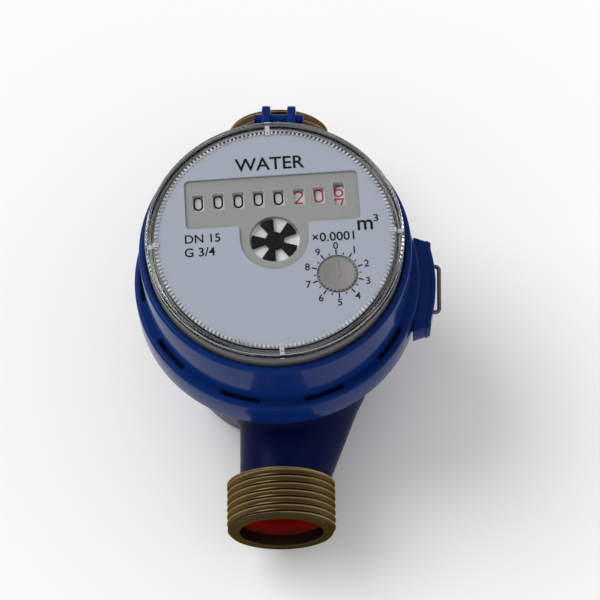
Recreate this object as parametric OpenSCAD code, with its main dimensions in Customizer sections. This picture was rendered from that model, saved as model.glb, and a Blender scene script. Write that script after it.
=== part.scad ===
// Single-jet dry-dial water meter for a 15 mm line.
// Frame: pipe axis along Y with the inlet at -Y, +Z up, origin on the flat base
// under the vertical axis of the meter. All lengths are millimetres.

/* [Body] */
// Length over the two port faces
meter_len = 110; // [100:1:130]
// Height of the pipe axis above the base
pipe_z = 18; // [17:0.5:20]
// How far the edge of the flat base lies inside the chamber's wall
base_step = 2; // [1.5:0.1:4]
// Rounding of the edge between base and bowl
base_round = 3; // [2:0.5:4]
// Height at which the sloping bowl meets the straight rim
bowl_z = 33; // [31:0.5:35]
// Height of the top face of the rim
rim_z = 46; // [45:0.5:47]
// Thickness of the chamber floor
floor_t = 7; // [6:0.5:8]
// Width of the ledge that carries the divider plate
ledge_w = 4.5; // [4.2:0.1:5]
// Height of that ledge
ledge_z = 34; // [33.5:0.5:35]
// Gap in the seat around the register's base plate
seat_gap = 0.3; // [0.2:0.05:0.5]

/* [Ports] */
// Outer radius of the G 3/4 pipe thread
thread_r = 13.22; // [12.8:0.02:13.6]
// Length of the threaded end
thread_len = 12.2; // [11:0.1:14]
// Chamfer at the mouth of the thread
thread_chamfer = 0.6; // [0.4:0.1:1]
// Distance between two turns of the thread
thread_pitch = 1.814; // [1.5:0.05:2.3]
// Depth of the thread from crest to root
thread_depth = 1.16; // [0.8:0.02:1.3]
// Radius of the port bore
bore_r = 10.15; // [9.8:0.05:10.5]
// Depth of the port bore
bore_depth = 10.5; // [9.5:0.1:11]
// Radius of the throat behind the port bore
throat_r = 8; // [7:0.1:8.5]
// Radius of the neck's rounded sides
neck_r = 10.6; // [10:0.1:11.2]
// Sideways offset of the neck from the pipe axis
neck_x = 0.6; // [0:0.1:1]
// How much wider the neck is at its inner end
neck_flare = 9.2; // [8:0.1:10]
// Distance from the meter axis to the neck's inner end
neck_root_y = 20; // [18:0.5:21]
// Radius of the jet nozzle
nozzle_r = 4.5; // [4:0.1:5]
// Distance from the chamber's wall to the axis of the jet nozzle
nozzle_inset = 8; // [7.5:0.1:9.5]

/* [Inlet strainer] */
// Depth of the strainer mouth behind the port face
strainer_depth = 5; // [4:0.5:6]
// Wall of the strainer
strainer_wall = 1; // [0.8:0.1:1.2]
// Length of the strainer's basket in the throat
basket_len = 5.5; // [4.5:0.1:5.8]
// Number of slots in the strainer wall
strainer_slots = 12; // [8:1:16]
// Width of a strainer slot
strainer_slot_w = 1.1; // [0.8:0.1:1.2]

/* [Impeller] */
// Gap between the vanes and the chamber's wall
vane_side_gap = 3; // [2.5:0.1:4.5]
// Height of the vanes
vane_h = 17; // [15:0.5:18]
// Thickness of a vane
vane_t = 1.5; // [1.2:0.1:2]
// Number of vanes
vane_count = 8; // [6:1:10]
// Radius of the impeller hub
hub_r = 4.5; // [4:0.1:5.5]
// Clearance under the vanes
vane_gap = 2.5; // [2:0.1:3]
// Radius of the magnet cup on the impeller
magnet_cup_r = 7.6; // [7.2:0.1:8.5]
// Radius of the two coupling magnets
magnet_r = 6.2; // [5.5:0.1:6.6]
// Height of the two coupling magnets
magnet_h = 4; // [3:0.1:4.4]
// Radius of the lower pivot pin
pivot_r = 1.2; // [1:0.1:1.4]
// Radius of the upper pivot axle
axle_r = 1; // [0.8:0.1:1.2]

/* [Divider] */
// Thickness of the divider around the coupling
divider_thin_t = 2.4; // [2.2:0.1:2.8]
// Thickness of the divider outside the coupling
divider_t = 4; // [3.5:0.1:5]
// Radius of the thin middle of the divider
divider_thin_r = 12.5; // [11.5:0.1:14]
// Width of the wall that stands on the divider's edge
divider_wall = 2.65; // [2:0.05:3]
// Height of the divider over that wall
divider_h = 10; // [9.5:0.1:10.5]
// Radius of the O-ring's round section
o_ring_wire_r = 0.8; // [0.6:0.05:1]
// Inner radius of the magnetic shield
shield_r = 9.2; // [8.5:0.1:10]
// Wall of the magnetic shield
shield_wall = 1.4; // [1:0.1:1.8]
// Height of the magnetic shield
shield_h = 5.4; // [4:0.1:6]

/* [Clear cover] */
// Gap between the dial plate and the cover's wall
dial_edge = 0.9; // [0.85:0.05:1.2]
// How far the cover's wall lies inside the outside of the rim
cover_step = 1.05; // [1:0.05:1.4]
// Wall of the cover
cover_wall = 1.65; // [1.4:0.05:1.7]
// Height of the cover from flange to crown
cover_h = 23.1; // [22.5:0.1:24]
// Thickness of the viewing lens
lens_t = 1.9; // [1.5:0.1:2.2]
// Chamfer around the crown
cover_chamfer = 0.9; // [0.5:0.1:1.2]
// Thickness of the clamped flange of the cover
cover_flange_t = 2; // [1.5:0.1:2.5]
// How far the cover's flange lies inside the outside of the rim
cover_flange_step = 0.1; // [0:0.05:0.3]
// Thickness of the gasket under the cover
gasket_t = 0.8; // [0.6:0.1:1]

/* [Lock ring] */
// Height of the ring's lower edge above the base
ring_z = 37.1; // [36.5:0.1:37.5]
// Height of the wide lower flange
ring_flange_h = 9.6; // [9:0.1:10.5]
// Wall of the wide lower flange
ring_flange_wall = 2.9; // [2.4:0.05:3.5]
// Overall height of the ring
ring_h = 26.3; // [25:0.1:28]
// Wall of the upper tier
ring_tier_wall = 1.6; // [1.5:0.05:1.9]
// Number of snap windows in the flange
window_count = 10; // [8:1:12]
// Arc of one snap window in degrees
window_arc = 17; // [12:1:20]
// Width of a snap window
window_w = 0.95; // [0.6:0.05:1.1]
// Depth to which a snap window notches the foot of the upper tier
window_notch = 0.25; // [0.1:0.05:0.4]
// Depth of a snap window
window_depth = 4; // [3:0.1:5]
// Angle from the lug to the first snap window
window_start = 3.7; // [0:0.1:10]
// Turn of the ring on the body in degrees
ring_turn = -1.7; // [-5:0.1:5]

/* [Seal lug and lid hinge] */
// Reach of the lug's end plate beyond the flange
lug_reach = 3.95; // [3:0.05:5.5]
// Half width of the lug's end plate
lug_half = 11.8; // [10:0.1:13]
// Thickness of the lug's end plate
lug_plate_t = 1.5; // [1.2:0.1:2]
// Height of the lug
lug_h = 6.5; // [5.5:0.1:8]
// Radius of the seal wire
wire_r = 0.5; // [0.4:0.05:0.6]
// Half length of the seal wire's crown
wire_half = 6.1; // [5:0.1:7]
// Distance from the end plate to the crown of the seal wire
wire_gap = 0.9; // [0.6:0.1:1.5]
// Radius of the lid's hinge pin
hinge_pin_r = 1.05; // [0.9:0.05:1.2]
// Length of the lid's hinge pin
hinge_pin_len = 12; // [11:0.1:14]
// Distance between the two hinge cheeks, centre to centre
hinge_pitch = 6.1; // [5.5:0.1:7]
// Thickness of a hinge cheek
hinge_cheek_t = 2.05; // [1.6:0.05:2.4]
// Reach of the hinge pin beyond the upper tier
hinge_reach = 3.7; // [3:0.1:4.5]
// Drop of the hinge pin below the top of the ring
hinge_drop = 3; // [2.5:0.1:4]

/* [Register] */
// Turn of the register in the body in degrees
register_turn = 3.1; // [-5:0.1:5]
// Margin of the dial plate around the corners of the counter
dial_margin = 0.3; // [0.2:0.05:0.6]
// Thickness of the dial plate
dial_t = 0.6; // [0.4:0.05:0.8]
// Gap between lens and dial plate
dial_gap = 0.6; // [0.5:0.05:0.8]
// Thickness of the counter frame's top
frame_t = 1.2; // [1:0.05:1.4]
// How far the counter opening in the dial lies inside the counter's ends
panel_trim = 0.6; // [0.2:0.05:1]
// Height of the counter opening in the dial
panel_h = 12.2; // [11:0.1:13]
// Width of the counter frame seen around the star's window
panel_hub_w = 2.15; // [1.6:0.05:2.8]
// Gap between the flow star and its window
star_gap = 0.35; // [0.3:0.05:0.6]
// Radius of the flow star
star_r = 5.5; // [5:0.05:5.6]
// Radius of the flow star's hub
star_hub_r = 2.9; // [2.4:0.1:3.2]
// Thickness of the flow star
star_t = 3; // [2:0.1:3.2]
// Number of blades of the flow star
star_blades = 5; // [4:1:7]
// Angle of the first blade of the flow star
star_phase = 36; // [0:1:72]
// Sideways place of the small dial
pointer_x = 13.96; // [13.5:0.02:14.5]
// Distance of the small dial below the meter axis
pointer_y = 10.27; // [9.8:0.01:10.8]
// Radius of the small dial's turning disc
pointer_r = 4.5; // [4:0.1:4.7]
// Thickness of the small dial's turning disc
pointer_t = 0.6; // [0.4:0.05:0.7]
// Thickness of the register's base plate
base_plate_t = 1.6; // [1.3:0.1:1.8]
// Margin of the register's base plate around the dial plate
base_plate_margin = 0.1; // [0:0.05:0.2]
// Thickness of the bridge plate under the flow star
bridge_t = 1; // [0.8:0.1:1.2]

/* [Counter] */
// Gap between two number wheels
wheel_clear = 0.12; // [0.1:0.01:0.2]
// Radius of a number wheel
drum_r = 6.2; // [6:0.05:6.3]
// Width of a number wheel's rim
drum_w = 3.3; // [3.1:0.05:3.35]
// Sideways place of the middle of the counter
counter_x = -0.8; // [-1.2:0.05:-0.4]
// Gap between the number wheels and the flow star
star_room = 0.46; // [0.4:0.02:0.7]
// Radius of the counter's shaft
counter_shaft_r = 0.9; // [0.7:0.05:1]
// Radius of the carry pinions' shaft
carry_shaft_r = 0.5; // [0.4:0.05:0.55]
// Width of a digit window
digit_window_w = 2.8; // [2.4:0.05:3.2]
// Height of a digit window
digit_window_h = 4.6; // [4:0.1:5]
// Height of the window of the fastest wheel
last_window_h = 6.6; // [6:0.1:7]
// Gap between number wheels and the counter frame
drum_gap = 0.2; // [0.15:0.05:0.3]

/* [Gear train] */
// Distance of the reduction gear from the line between flow star and worm
idler_off = 2; // [1:0.1:2.5]
// Width of a gear in the train
gear_w = 1; // [0.8:0.05:1.1]
// Gap between two levels of the train
level_gap = 0.6; // [0.5:0.05:0.7]
// Radius of the train's turning shafts
train_shaft_r = 0.5; // [0.4:0.02:0.54]
// Radius of the flow star's shaft
star_shaft_r = 0.75; // [0.6:0.05:0.85]
// Pitch radius of the worm
worm_r = 1.1; // [1.06:0.01:1.15]

/* [Clearances] */
// Radial running clearance of shafts in their bearings
run_gap = 0.05; // [0.03:0.01:0.08]
// Radial gap between parts that are slid together
slip_gap = 0.15; // [0.1:0.01:0.2]
// Gap between the ring and the parts that it clamps
ring_gap = 0.25; // [0.2:0.01:0.3]

/* [Hidden] */
$fn = 96;
hull_fn = 40;
eps = 0.01;

// Tooth counts: centre pinion 10 drives 40, 10 drives 40, 20 drives 40, worm drives 20.
pinion_teeth = 10;
wheel_teeth = 40;
take_off_teeth = 20;
counter_teeth = 20;
carry_teeth = 8;
addendum = 0.75;
dedendum = 1.15;
pressure = 20;
tooth_share = 0.4;

// The carry pinions clear the rims of the number wheels, and that sets their module.
carry_distance = drum_r + carry_shaft_r + 0.4;
carry_module = 2 * carry_distance / (counter_teeth + carry_teeth);
carry_angle = 40;
counter_gear_r = carry_module * counter_teeth / 2;
counter_gear_w = 0.7;
carry_disc_w = 0.6;
wheel_count = 8;
wheel_pitch = drum_w + carry_disc_w + counter_gear_w + wheel_clear;
carry_disc_r = counter_gear_r - 1.3 * carry_module;
carry_pinion_w = wheel_pitch - drum_w - 0.2;

// The number wheels stand just clear of the flow star, whose lower face lies level with their upper part.
star_window_r = star_r + star_gap;
panel_hub_r = star_window_r + panel_hub_w;
star_over = frame_t - dial_t - star_t + drum_gap + drum_r;
counter_y = star_r + star_room + sqrt(pow(drum_r, 2) - pow(star_over, 2));
carry_y = counter_y + carry_distance * cos(carry_angle);

function wheel_x(i) = counter_x + (i - (wheel_count + 1) / 2) * wheel_pitch;
// The fastest wheel carries its gear on a hub, so that the worm clears its rim.
worm_tip = worm_r + 0.75 * carry_module;
worm_root = worm_r - 0.95 * carry_module;
drive_hub_w = worm_tip + 0.25 - counter_gear_w / 2;
drive_hub_r = 3;
arbor_hub_r = 1.2;
counter_gear_x = wheel_x(wheel_count) + drum_w / 2 + drive_hub_w + counter_gear_w / 2;

// Places of the upright arbors, in the register's own frame.
worm_at = [counter_gear_x, counter_y - counter_gear_r - worm_r];
pointer_at = [pointer_x, -pointer_y];
idler_at = worm_at / 2 + idler_off * [worm_at[1], -worm_at[0]] / norm(worm_at);
train_module = 2 * norm(idler_at) / (pinion_teeth + wheel_teeth);
pointer_module = 2 * norm(pointer_at - worm_at) / (take_off_teeth + wheel_teeth);

// The counter and the gears set the dial, and the dial sets the seat, cover, rim and ring around it.
cheek_t = 1.2;
cheek_gap = 0.3;
cheek_y = [counter_y - counter_shaft_r - 1.66, carry_y + 1.2];
cheek_left = wheel_x(1) - drum_w / 2 - carry_disc_w - cheek_gap - cheek_t;
cheek_right = counter_gear_x + counter_gear_w / 2 + cheek_gap;
counter_reach = max(-cheek_left, cheek_right + cheek_t);
function gear_reach(at, m) = norm(at) + m * (wheel_teeth / 2 + addendum);
gears_reach = max(gear_reach(worm_at, train_module), gear_reach(pointer_at, pointer_module));
dial_r = max(norm([counter_reach, cheek_y[1]]) + dial_margin, gears_reach + ring_gap - dial_edge);
base_plate_r = dial_r + base_plate_margin;
seat_r = base_plate_r + seat_gap;
chamber_r = seat_r - ledge_w;
base_r = chamber_r - base_step;
nozzle_x = chamber_r - nozzle_inset;
vane_r = chamber_r - vane_side_gap;
cover_r = dial_r + dial_edge + cover_wall;
rim_r = cover_r + cover_step;
cover_flange_r = rim_r - cover_flange_step;
ring_low_bore = rim_r + ring_gap;
ring_high_bore = cover_r + ring_gap;
ring_flange_r = ring_low_bore + ring_flange_wall;
ring_r = ring_high_bore + ring_tier_wall;
lug_r = ring_flange_r + lug_reach;
hinge_y = ring_r + hinge_reach;
panel_w = cheek_right + cheek_t - cheek_left - 2 * panel_trim;

// Heights of the stack, from the chamber up to the crown of the cover.
port_y = meter_len / 2;
divider_r = seat_r - slip_gap;
divider_top = ledge_z + divider_h;
o_ring_r = (chamber_r + seat_r) / 2;
base_plate_top = divider_top + base_plate_t;
cover_z = rim_z + gasket_t;
cover_top = cover_z + cover_h;
dial_top = cover_top - lens_t - dial_gap;
frame_top = dial_top - dial_t;
frame_low = frame_top - frame_t;
counter_z = frame_low - drum_gap - drum_r;
star_top = frame_top - dial_t;
star_low = star_top - star_t;
bridge_top = star_low - level_gap;
carry_z = counter_z - carry_distance * sin(carry_angle);

// Impeller heights.
vane_low = floor_t + vane_gap;
vane_top = vane_low + vane_h;
cup_top = ledge_z - 1;
bearing_r = 2 * pivot_r;
bearing_h = 3.5;
pivot_top = vane_low + bearing_h - 1;
axle_top = ledge_z + divider_thin_t / 2;
// Levels of the train above the register's base plate.
function level(i) = base_plate_top + level_gap + i * (gear_w + level_gap);
shaft_foot = divider_top + base_plate_t / 4;
post_r = 1.8;
post_reach = base_plate_r - post_r - 1.3;
post_angles = [60, 120, 200, 262];
pillar_r = 1.5;
pillar_at = dial_r * [[-0.58, -0.435], [0, -0.743], [0.76, -0.435]];
bridge_r = dial_r - 0.3;
bridge_back = counter_y - drum_r - 0.1;

// Worm thread.
worm_pitch = PI * carry_module;
worm_len = 3.2;
worm_low = counter_z - worm_len / 2;
tooth_phase = 90 - carry_angle + 180 / counter_teeth;
nearest_tooth = tooth_phase - 360 / counter_teeth * round((tooth_phase + 90) * counter_teeth / 360);
gap_z = counter_z - counter_gear_r * cos(nearest_tooth) + worm_pitch / 2;
worm_phase = 90 + 360 * (gap_z - worm_low) / worm_pitch;

// Neck and passage details.
neck_sink = 1;
hub_step = 0.5;
throat_len = basket_len + 0.5;
throat_step = 0.4;

// Lock ring details.
ring_top = ring_z + ring_h;
ring_flange_top = ring_z + ring_flange_h;
clamp_z = cover_z + cover_flange_t + ring_gap / 2;
bead_z = ring_z + 1.2;
bead_h = 1.9;
bead_r = rim_r - 0.8;
groove_r = bead_r - 0.4;
hinge_z = ring_top - hinge_drop;
wire_z = ring_z + lug_h / 2;
wire_bend = 1;

function arc(cx, cy, r, a0, a1, n) = [for (i = [0:n]) [cx + r * cos(a0 + (a1 - a0) * i / n),
                                                       cy + r * sin(a0 + (a1 - a0) * i / n)]];
function involute_deg(a) = tan(a) * 180 / PI - a;
function flank(r, base, teeth) = tooth_share * 180 / teeth + involute_deg(pressure)
  - (r > base ? involute_deg(acos(base / r)) : 0);
function polar(r, a) = [r * cos(a), r * sin(a)];
function tooth_radii(teeth, m) = [teeth * m / 2 - dedendum * m, teeth * m / 2, teeth * m / 2 + addendum * m];

// Outline of a spur gear with involute flanks; phase is the angle of one tooth.
module gear_outline(teeth, m, phase = 0) {
  radii = tooth_radii(teeth, m);
  base = teeth * m / 2 * cos(pressure);
  polygon([for (k = [0:teeth - 1]) each concat(
    [for (r = radii) polar(r, phase + 360 * k / teeth - flank(r, base, teeth))],
    [for (i = [2:-1:0]) polar(radii[i], phase + 360 * k / teeth + flank(radii[i], base, teeth))])]);
}

module gear(teeth, m, w, phase = 0) {
  linear_extrude(w) gear_outline(teeth, m, phase);
}

// Turns an upright shape so that its Z lies along +Y, or along +X.
module along_y() { rotate([-90, 0, 0]) children(); }
module along_x() { rotate([0, 90, 0]) children(); }
module both_ends() {
  children();
  mirror([0, 1, 0]) children();
}
module in_register() { rotate(register_turn) children(); }
module on_ring() { rotate(ring_turn) children(); }

// Body casting with two threaded ends, chamber, ledge and jet passages.
module bowl() {
  rotate_extrude() polygon(concat(
    [[0, 0]],
    arc(base_r, base_round, base_round, -90, -12, 5),
    [[rim_r, bowl_z], [rim_r, bead_z - ring_gap], [groove_r, bead_z - ring_gap],
     [groove_r, bead_z + bead_h + ring_gap], [rim_r, bead_z + bead_h + ring_gap],
     [rim_r, rim_z], [0, rim_z]]));
}

module disc_at(x, y, r) {
  translate([x, y, pipe_z]) along_y() cylinder(r = r, h = eps, $fn = hull_fn);
}

// Thread of a port, as grooves one pitch apart below the crest.
module port_thread() {
  turns = floor((thread_len - thread_chamfer) / thread_pitch);
  root = thread_r - thread_depth;
  rotate_extrude() polygon(concat(
    [[0, 0], [thread_r - thread_chamfer, 0], [thread_r, thread_chamfer]],
    [for (i = [0:turns - 1]) each [for (p = [[thread_r, 0.15], [root, 0.42], [root, 0.58], [thread_r, 0.85]])
      [p[0], thread_chamfer + (i + p[1]) * thread_pitch]]],
    [[thread_r, thread_len], [0, thread_len]]));
}

module neck() {
  neck_y = port_y - thread_len;
  hull() {
    disc_at(neck_x, -neck_y - neck_sink, neck_r);
    disc_at(neck_x, -neck_root_y, neck_r);
    disc_at(neck_x + neck_flare, -neck_root_y, neck_r);
  }
  translate([0, -port_y, pipe_z]) along_y() port_thread();
}

module jet_passage() {
  throat_y = port_y - bore_depth;
  translate([0, -port_y - eps, pipe_z]) along_y() cylinder(r = bore_r, h = bore_depth + eps);
  translate([0, -throat_y - eps, pipe_z]) along_y() cylinder(r = throat_r, h = throat_len);
  hull() {
    disc_at(0, -throat_y + throat_len - 1, throat_r - throat_step);
    disc_at(nozzle_x, -chamber_r * 0.6, nozzle_r);
  }
}

module body() color("mediumblue") difference() {
  union() {
    bowl();
    both_ends() neck();
  }
  translate([0, 0, floor_t]) cylinder(r = chamber_r, h = rim_z);
  translate([0, 0, ledge_z]) cylinder(r = seat_r, h = rim_z);
  translate([0, 0, floor_t - 3]) cylinder(r = pivot_r, h = 4);
  translate([0, 0, ledge_z - 2 * o_ring_wire_r]) difference() {
    cylinder(r = o_ring_r + o_ring_wire_r + slip_gap, h = 3);
    translate([0, 0, -1]) cylinder(r = o_ring_r - o_ring_wire_r - slip_gap, h = 5);
  }
  both_ends() jet_passage();
}

module inlet_strainer() color("firebrick")
  translate([0, -port_y + strainer_depth, pipe_z]) along_y() {
    collar_r = bore_r - slip_gap;
    basket_r = throat_r - 2 * slip_gap;
    seat = bore_depth - strainer_depth;
    foot = seat + basket_len;
    basket_bore = basket_r - strainer_wall;
    difference() {
      union() {
        cylinder(r = collar_r, h = seat);
        cylinder(r = basket_r, h = foot);
      }
      translate([0, 0, -1]) cylinder(r = collar_r - strainer_wall, h = seat - strainer_wall + 1);
      translate([0, 0, -1]) cylinder(r = basket_bore, h = foot - strainer_wall + 1);
      for (i = [0:strainer_slots - 1]) rotate(360 * i / strainer_slots)
        translate([basket_bore - strainer_wall, -strainer_slot_w / 2, seat + strainer_wall / 2])
          cube([3 * strainer_wall, strainer_slot_w, basket_len - 2 * strainer_wall]);
      for (i = [-2:2]) {
        slot_half = sqrt(pow(basket_bore - strainer_wall, 2) - pow(2 * i * strainer_slot_w, 2));
        translate([(2 * i - 0.5) * strainer_slot_w, -slot_half, foot - 2 * strainer_wall])
          cube([strainer_slot_w, 2 * slot_half, 3 * strainer_wall]);
      }
    }
  }

module chamber_pivot() color("silver")
  translate([0, 0, floor_t - 3]) cylinder(r = pivot_r, h = pivot_top - floor_t + 3 - run_gap);

// Divider between the wet chamber and the dry register.
module divider_plate() color("whitesmoke") rotate_extrude() polygon([
  [axle_r + run_gap, ledge_z], [divider_r, ledge_z], [divider_r, divider_top],
  [divider_r - divider_wall, divider_top], [divider_r - divider_wall, ledge_z + divider_t],
  [divider_thin_r, ledge_z + divider_t], [divider_thin_r, ledge_z + divider_thin_t],
  [0, ledge_z + divider_thin_t], [0, axle_top + 0.4], [axle_r + run_gap, axle_top + 0.4]]);

module divider_o_ring() color("dimgray")
  translate([0, 0, ledge_z - o_ring_wire_r]) rotate_extrude()
    translate([o_ring_r, 0]) circle(r = o_ring_wire_r - run_gap / 2);

module tube(outer, inner, h) {
  difference() {
    cylinder(r = outer, h = h);
    translate([0, 0, -1]) cylinder(r = inner, h = h + 2);
  }
}

module magnetic_shield() color("lightsteelblue")
  translate([0, 0, ledge_z + divider_thin_t]) tube(shield_r + shield_wall, shield_r, shield_h);

module cover_gasket() color("dimgray")
  translate([0, 0, rim_z]) tube(cover_flange_r - 0.2, seat_r + 0.6, gasket_t);

// Clear cover: cup with a clamped flange, a chamfered crown and four ribs inside the crown.
module clear_cover() color([0.85, 0.9, 0.95, 0.4]) {
  bore = cover_r - cover_wall;
  rotate_extrude() polygon([
    [bore, cover_z], [cover_flange_r, cover_z], [cover_flange_r, cover_z + cover_flange_t],
    [cover_r, cover_z + cover_flange_t], [cover_r, cover_top - cover_chamfer],
    [cover_r - cover_chamfer, cover_top], [0, cover_top], [0, cover_top - lens_t],
    [bore, cover_top - lens_t]]);
  in_register() for (i = [0:3]) rotate(90 * i)
    translate([dial_r + 0.2, -0.5, dial_top])
      cube([bore - dial_r + 0.3, 1, cover_top - lens_t - dial_top + eps]);
}

// Lock ring: two tiers, inner snap bead, snap windows, seal lug and lid hinge.
module ring_wall() {
  rotate_extrude() polygon([
    [ring_low_bore, ring_z], [ring_flange_r - 0.4, ring_z], [ring_flange_r, ring_z + 0.4],
    [ring_flange_r, ring_flange_top - 0.5], [ring_flange_r - 0.5, ring_flange_top],
    [ring_r, ring_flange_top], [ring_r, ring_top - 0.5], [ring_r - 0.5, ring_top],
    [ring_high_bore, ring_top], [ring_high_bore, clamp_z], [ring_low_bore, clamp_z],
    [ring_low_bore, bead_z + bead_h], [bead_r, bead_z + bead_h - 0.3], [bead_r, bead_z],
    [ring_low_bore, bead_z]]);
}

module seal_lug() {
  translate([0, 0, ring_z]) linear_extrude(lug_h) polygon([
    [ring_flange_r - 1.5, -lug_half - 0.8], [lug_r - lug_plate_t - 0.5, -lug_half + 0.5],
    [lug_r - lug_plate_t + 0.3, -lug_half + 0.5], [lug_r - lug_plate_t + 0.3, lug_half - 0.5],
    [lug_r - lug_plate_t - 0.5, lug_half - 0.5], [ring_flange_r - 1.5, lug_half + 0.8]]);
  half_arc = asin(lug_half / lug_r);
  translate([0, 0, ring_z]) rotate(-half_arc) rotate_extrude(angle = 2 * half_arc)
    translate([lug_r - lug_plate_t, 0]) square([lug_plate_t, lug_h]);
}

module lid_hinge() {
  root_y = ring_r - 1;
  for (s = [-1, 1]) translate([s * hinge_pitch / 2 - hinge_cheek_t / 2, 0, 0])
    rotate([90, 0, 90]) linear_extrude(hinge_cheek_t) polygon([
      [root_y, hinge_z - 7.5], [ring_r + 0.4, hinge_z - 7.5], [hinge_y + 2.9, hinge_z - 2],
      [hinge_y + 2.9, hinge_z + 1.3], [hinge_y + 2, hinge_z + 2.1], [root_y, hinge_z + 2.1]]);
  translate([-hinge_pin_len / 2, hinge_y, hinge_z]) along_x() cylinder(r = hinge_pin_r, h = hinge_pin_len);
}

module snap_windows() {
  for (i = [1:window_count - 1])
    translate([0, 0, ring_flange_top - window_depth])
      rotate(window_start + 360 * i / window_count - window_arc / 2) rotate_extrude(angle = window_arc)
        translate([ring_r - window_notch, 0]) square([window_w + window_notch, window_depth + 0.8]);
}

module lock_ring() color("royalblue") on_ring() difference() {
  union() {
    ring_wall();
    seal_lug();
    lid_hinge();
  }
  snap_windows();
  for (s = [-1, 1]) translate([ring_flange_r, s * wire_half, wire_z])
    along_x() cylinder(r = wire_r + run_gap, h = lug_r - ring_flange_r + 1);
}

// Seal wire: a staple through the lug's end plate.
module seal_wire() color("darkslategray") on_ring() translate([0, 0, wire_z]) {
  crown_x = lug_r + wire_gap;
  leg_x = ring_flange_r + 0.1;
  for (s = [-1, 1]) {
    translate([leg_x, s * wire_half, 0]) along_x() cylinder(r = wire_r, h = crown_x - wire_bend - leg_x);
    translate([crown_x - wire_bend, s * (wire_half - wire_bend), 0]) rotate(s > 0 ? 0 : -90)
      rotate_extrude(angle = 90) translate([wire_bend, 0]) circle(r = wire_r);
  }
  translate([crown_x, wire_bend - wire_half, 0]) along_y()
    cylinder(r = wire_r, h = 2 * (wire_half - wire_bend));
}

// Register: base plate, idler post, bridge, counter frame and dial.
module register_base() color("gainsboro") in_register() translate([0, 0, divider_top]) difference() {
  cylinder(r = base_plate_r, h = base_plate_t);
  translate([0, 0, -1]) cylinder(r = star_shaft_r + run_gap, h = base_plate_t + 2);
  translate([idler_at[0], idler_at[1], -1]) cylinder(r = train_shaft_r, h = base_plate_t + 2);
  for (p = [worm_at, pointer_at]) translate([p[0], p[1], shaft_foot - run_gap - divider_top])
    cylinder(r = train_shaft_r + run_gap, h = base_plate_t);
}

module idler_post() color("silver") in_register() translate([idler_at[0], idler_at[1], divider_top])
  cylinder(r = train_shaft_r, h = level(2) - 2 * level_gap / 3 - divider_top);

module bridge_plate() color("silver") in_register() translate([0, 0, bridge_top - bridge_t]) difference() {
  intersection() {
    cylinder(r = bridge_r, h = bridge_t);
    translate([-bridge_r, -bridge_r, 0]) cube([2 * bridge_r, bridge_r + bridge_back, bridge_t]);
  }
  translate([0, 0, -1]) cylinder(r = star_shaft_r + run_gap, h = bridge_t + 2);
  translate([worm_at[0], worm_at[1], -1]) cylinder(r = worm_tip + 0.5, h = bridge_t + 2);
  translate([pointer_at[0], pointer_at[1], -1]) cylinder(r = train_shaft_r + run_gap, h = bridge_t + 2);
  for (a = post_angles) rotate(a) translate([post_reach, 0, -1])
    cylinder(r = post_r + slip_gap, h = bridge_t + 2);
}

module frame_windows() {
  for (i = [1:wheel_count]) {
    h = i == wheel_count ? last_window_h : digit_window_h;
    translate([wheel_x(i) - digit_window_w / 2, counter_y - h / 2, frame_low - 1])
      cube([digit_window_w, h, frame_t + 2]);
  }
  translate([0, 0, frame_low - 1]) cylinder(r = star_window_r, h = frame_t + 2);
  translate([pointer_at[0], pointer_at[1], frame_low - 1])
    cylinder(r = train_shaft_r + run_gap, h = frame_t + 2);
  translate([worm_at[0], worm_at[1], frame_low - 1])
    cylinder(r = train_shaft_r + run_gap, h = 1 + frame_t / 2);
}

module frame_cheek(x) {
  low = carry_z - 2;
  difference() {
    translate([x, cheek_y[0], low]) cube([cheek_t, cheek_y[1] - cheek_y[0], frame_low - low + eps]);
    translate([x - 1, counter_y, counter_z]) along_x() cylinder(r = counter_shaft_r, h = cheek_t + 2);
    translate([x - 1, carry_y, carry_z]) along_x() cylinder(r = carry_shaft_r, h = cheek_t + 2);
  }
}

module counter_frame() color("darkgray") in_register() {
  difference() {
    translate([0, 0, frame_low]) cylinder(r = dial_r, h = frame_t);
    frame_windows();
  }
  frame_cheek(cheek_left);
  frame_cheek(cheek_right);
  for (a = post_angles) rotate(a) translate([post_reach, 0, base_plate_top])
    cylinder(r = post_r, h = frame_low - base_plate_top + eps);
  for (p = pillar_at) translate([p[0], p[1], bridge_top])
    cylinder(r = pillar_r, h = frame_low - bridge_top + eps);
}

module dial_plate() color("white") in_register() translate([0, 0, frame_top]) difference() {
  cylinder(r = dial_r, h = dial_t);
  translate([-panel_w / 2, counter_y - panel_h / 2, -1]) cube([panel_w, panel_h, dial_t + 2]);
  translate([0, 0, -1]) cylinder(r = panel_hub_r, h = dial_t + 2);
  translate([-panel_hub_r, 0, -1]) cube([2 * panel_hub_r, counter_y, dial_t + 2]);
  translate([pointer_at[0], pointer_at[1], -1]) cylinder(r = pointer_r + 0.3, h = dial_t + 2);
}

module cross_shaft(y, z, r) {
  translate([cheek_left, y, z]) along_x() cylinder(r = r, h = cheek_right + cheek_t - cheek_left);
}
module counter_shaft() color("silver") in_register() cross_shaft(counter_y, counter_z, counter_shaft_r);
module carry_shaft() color("silver") in_register() cross_shaft(carry_y, carry_z, carry_shaft_r);

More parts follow.
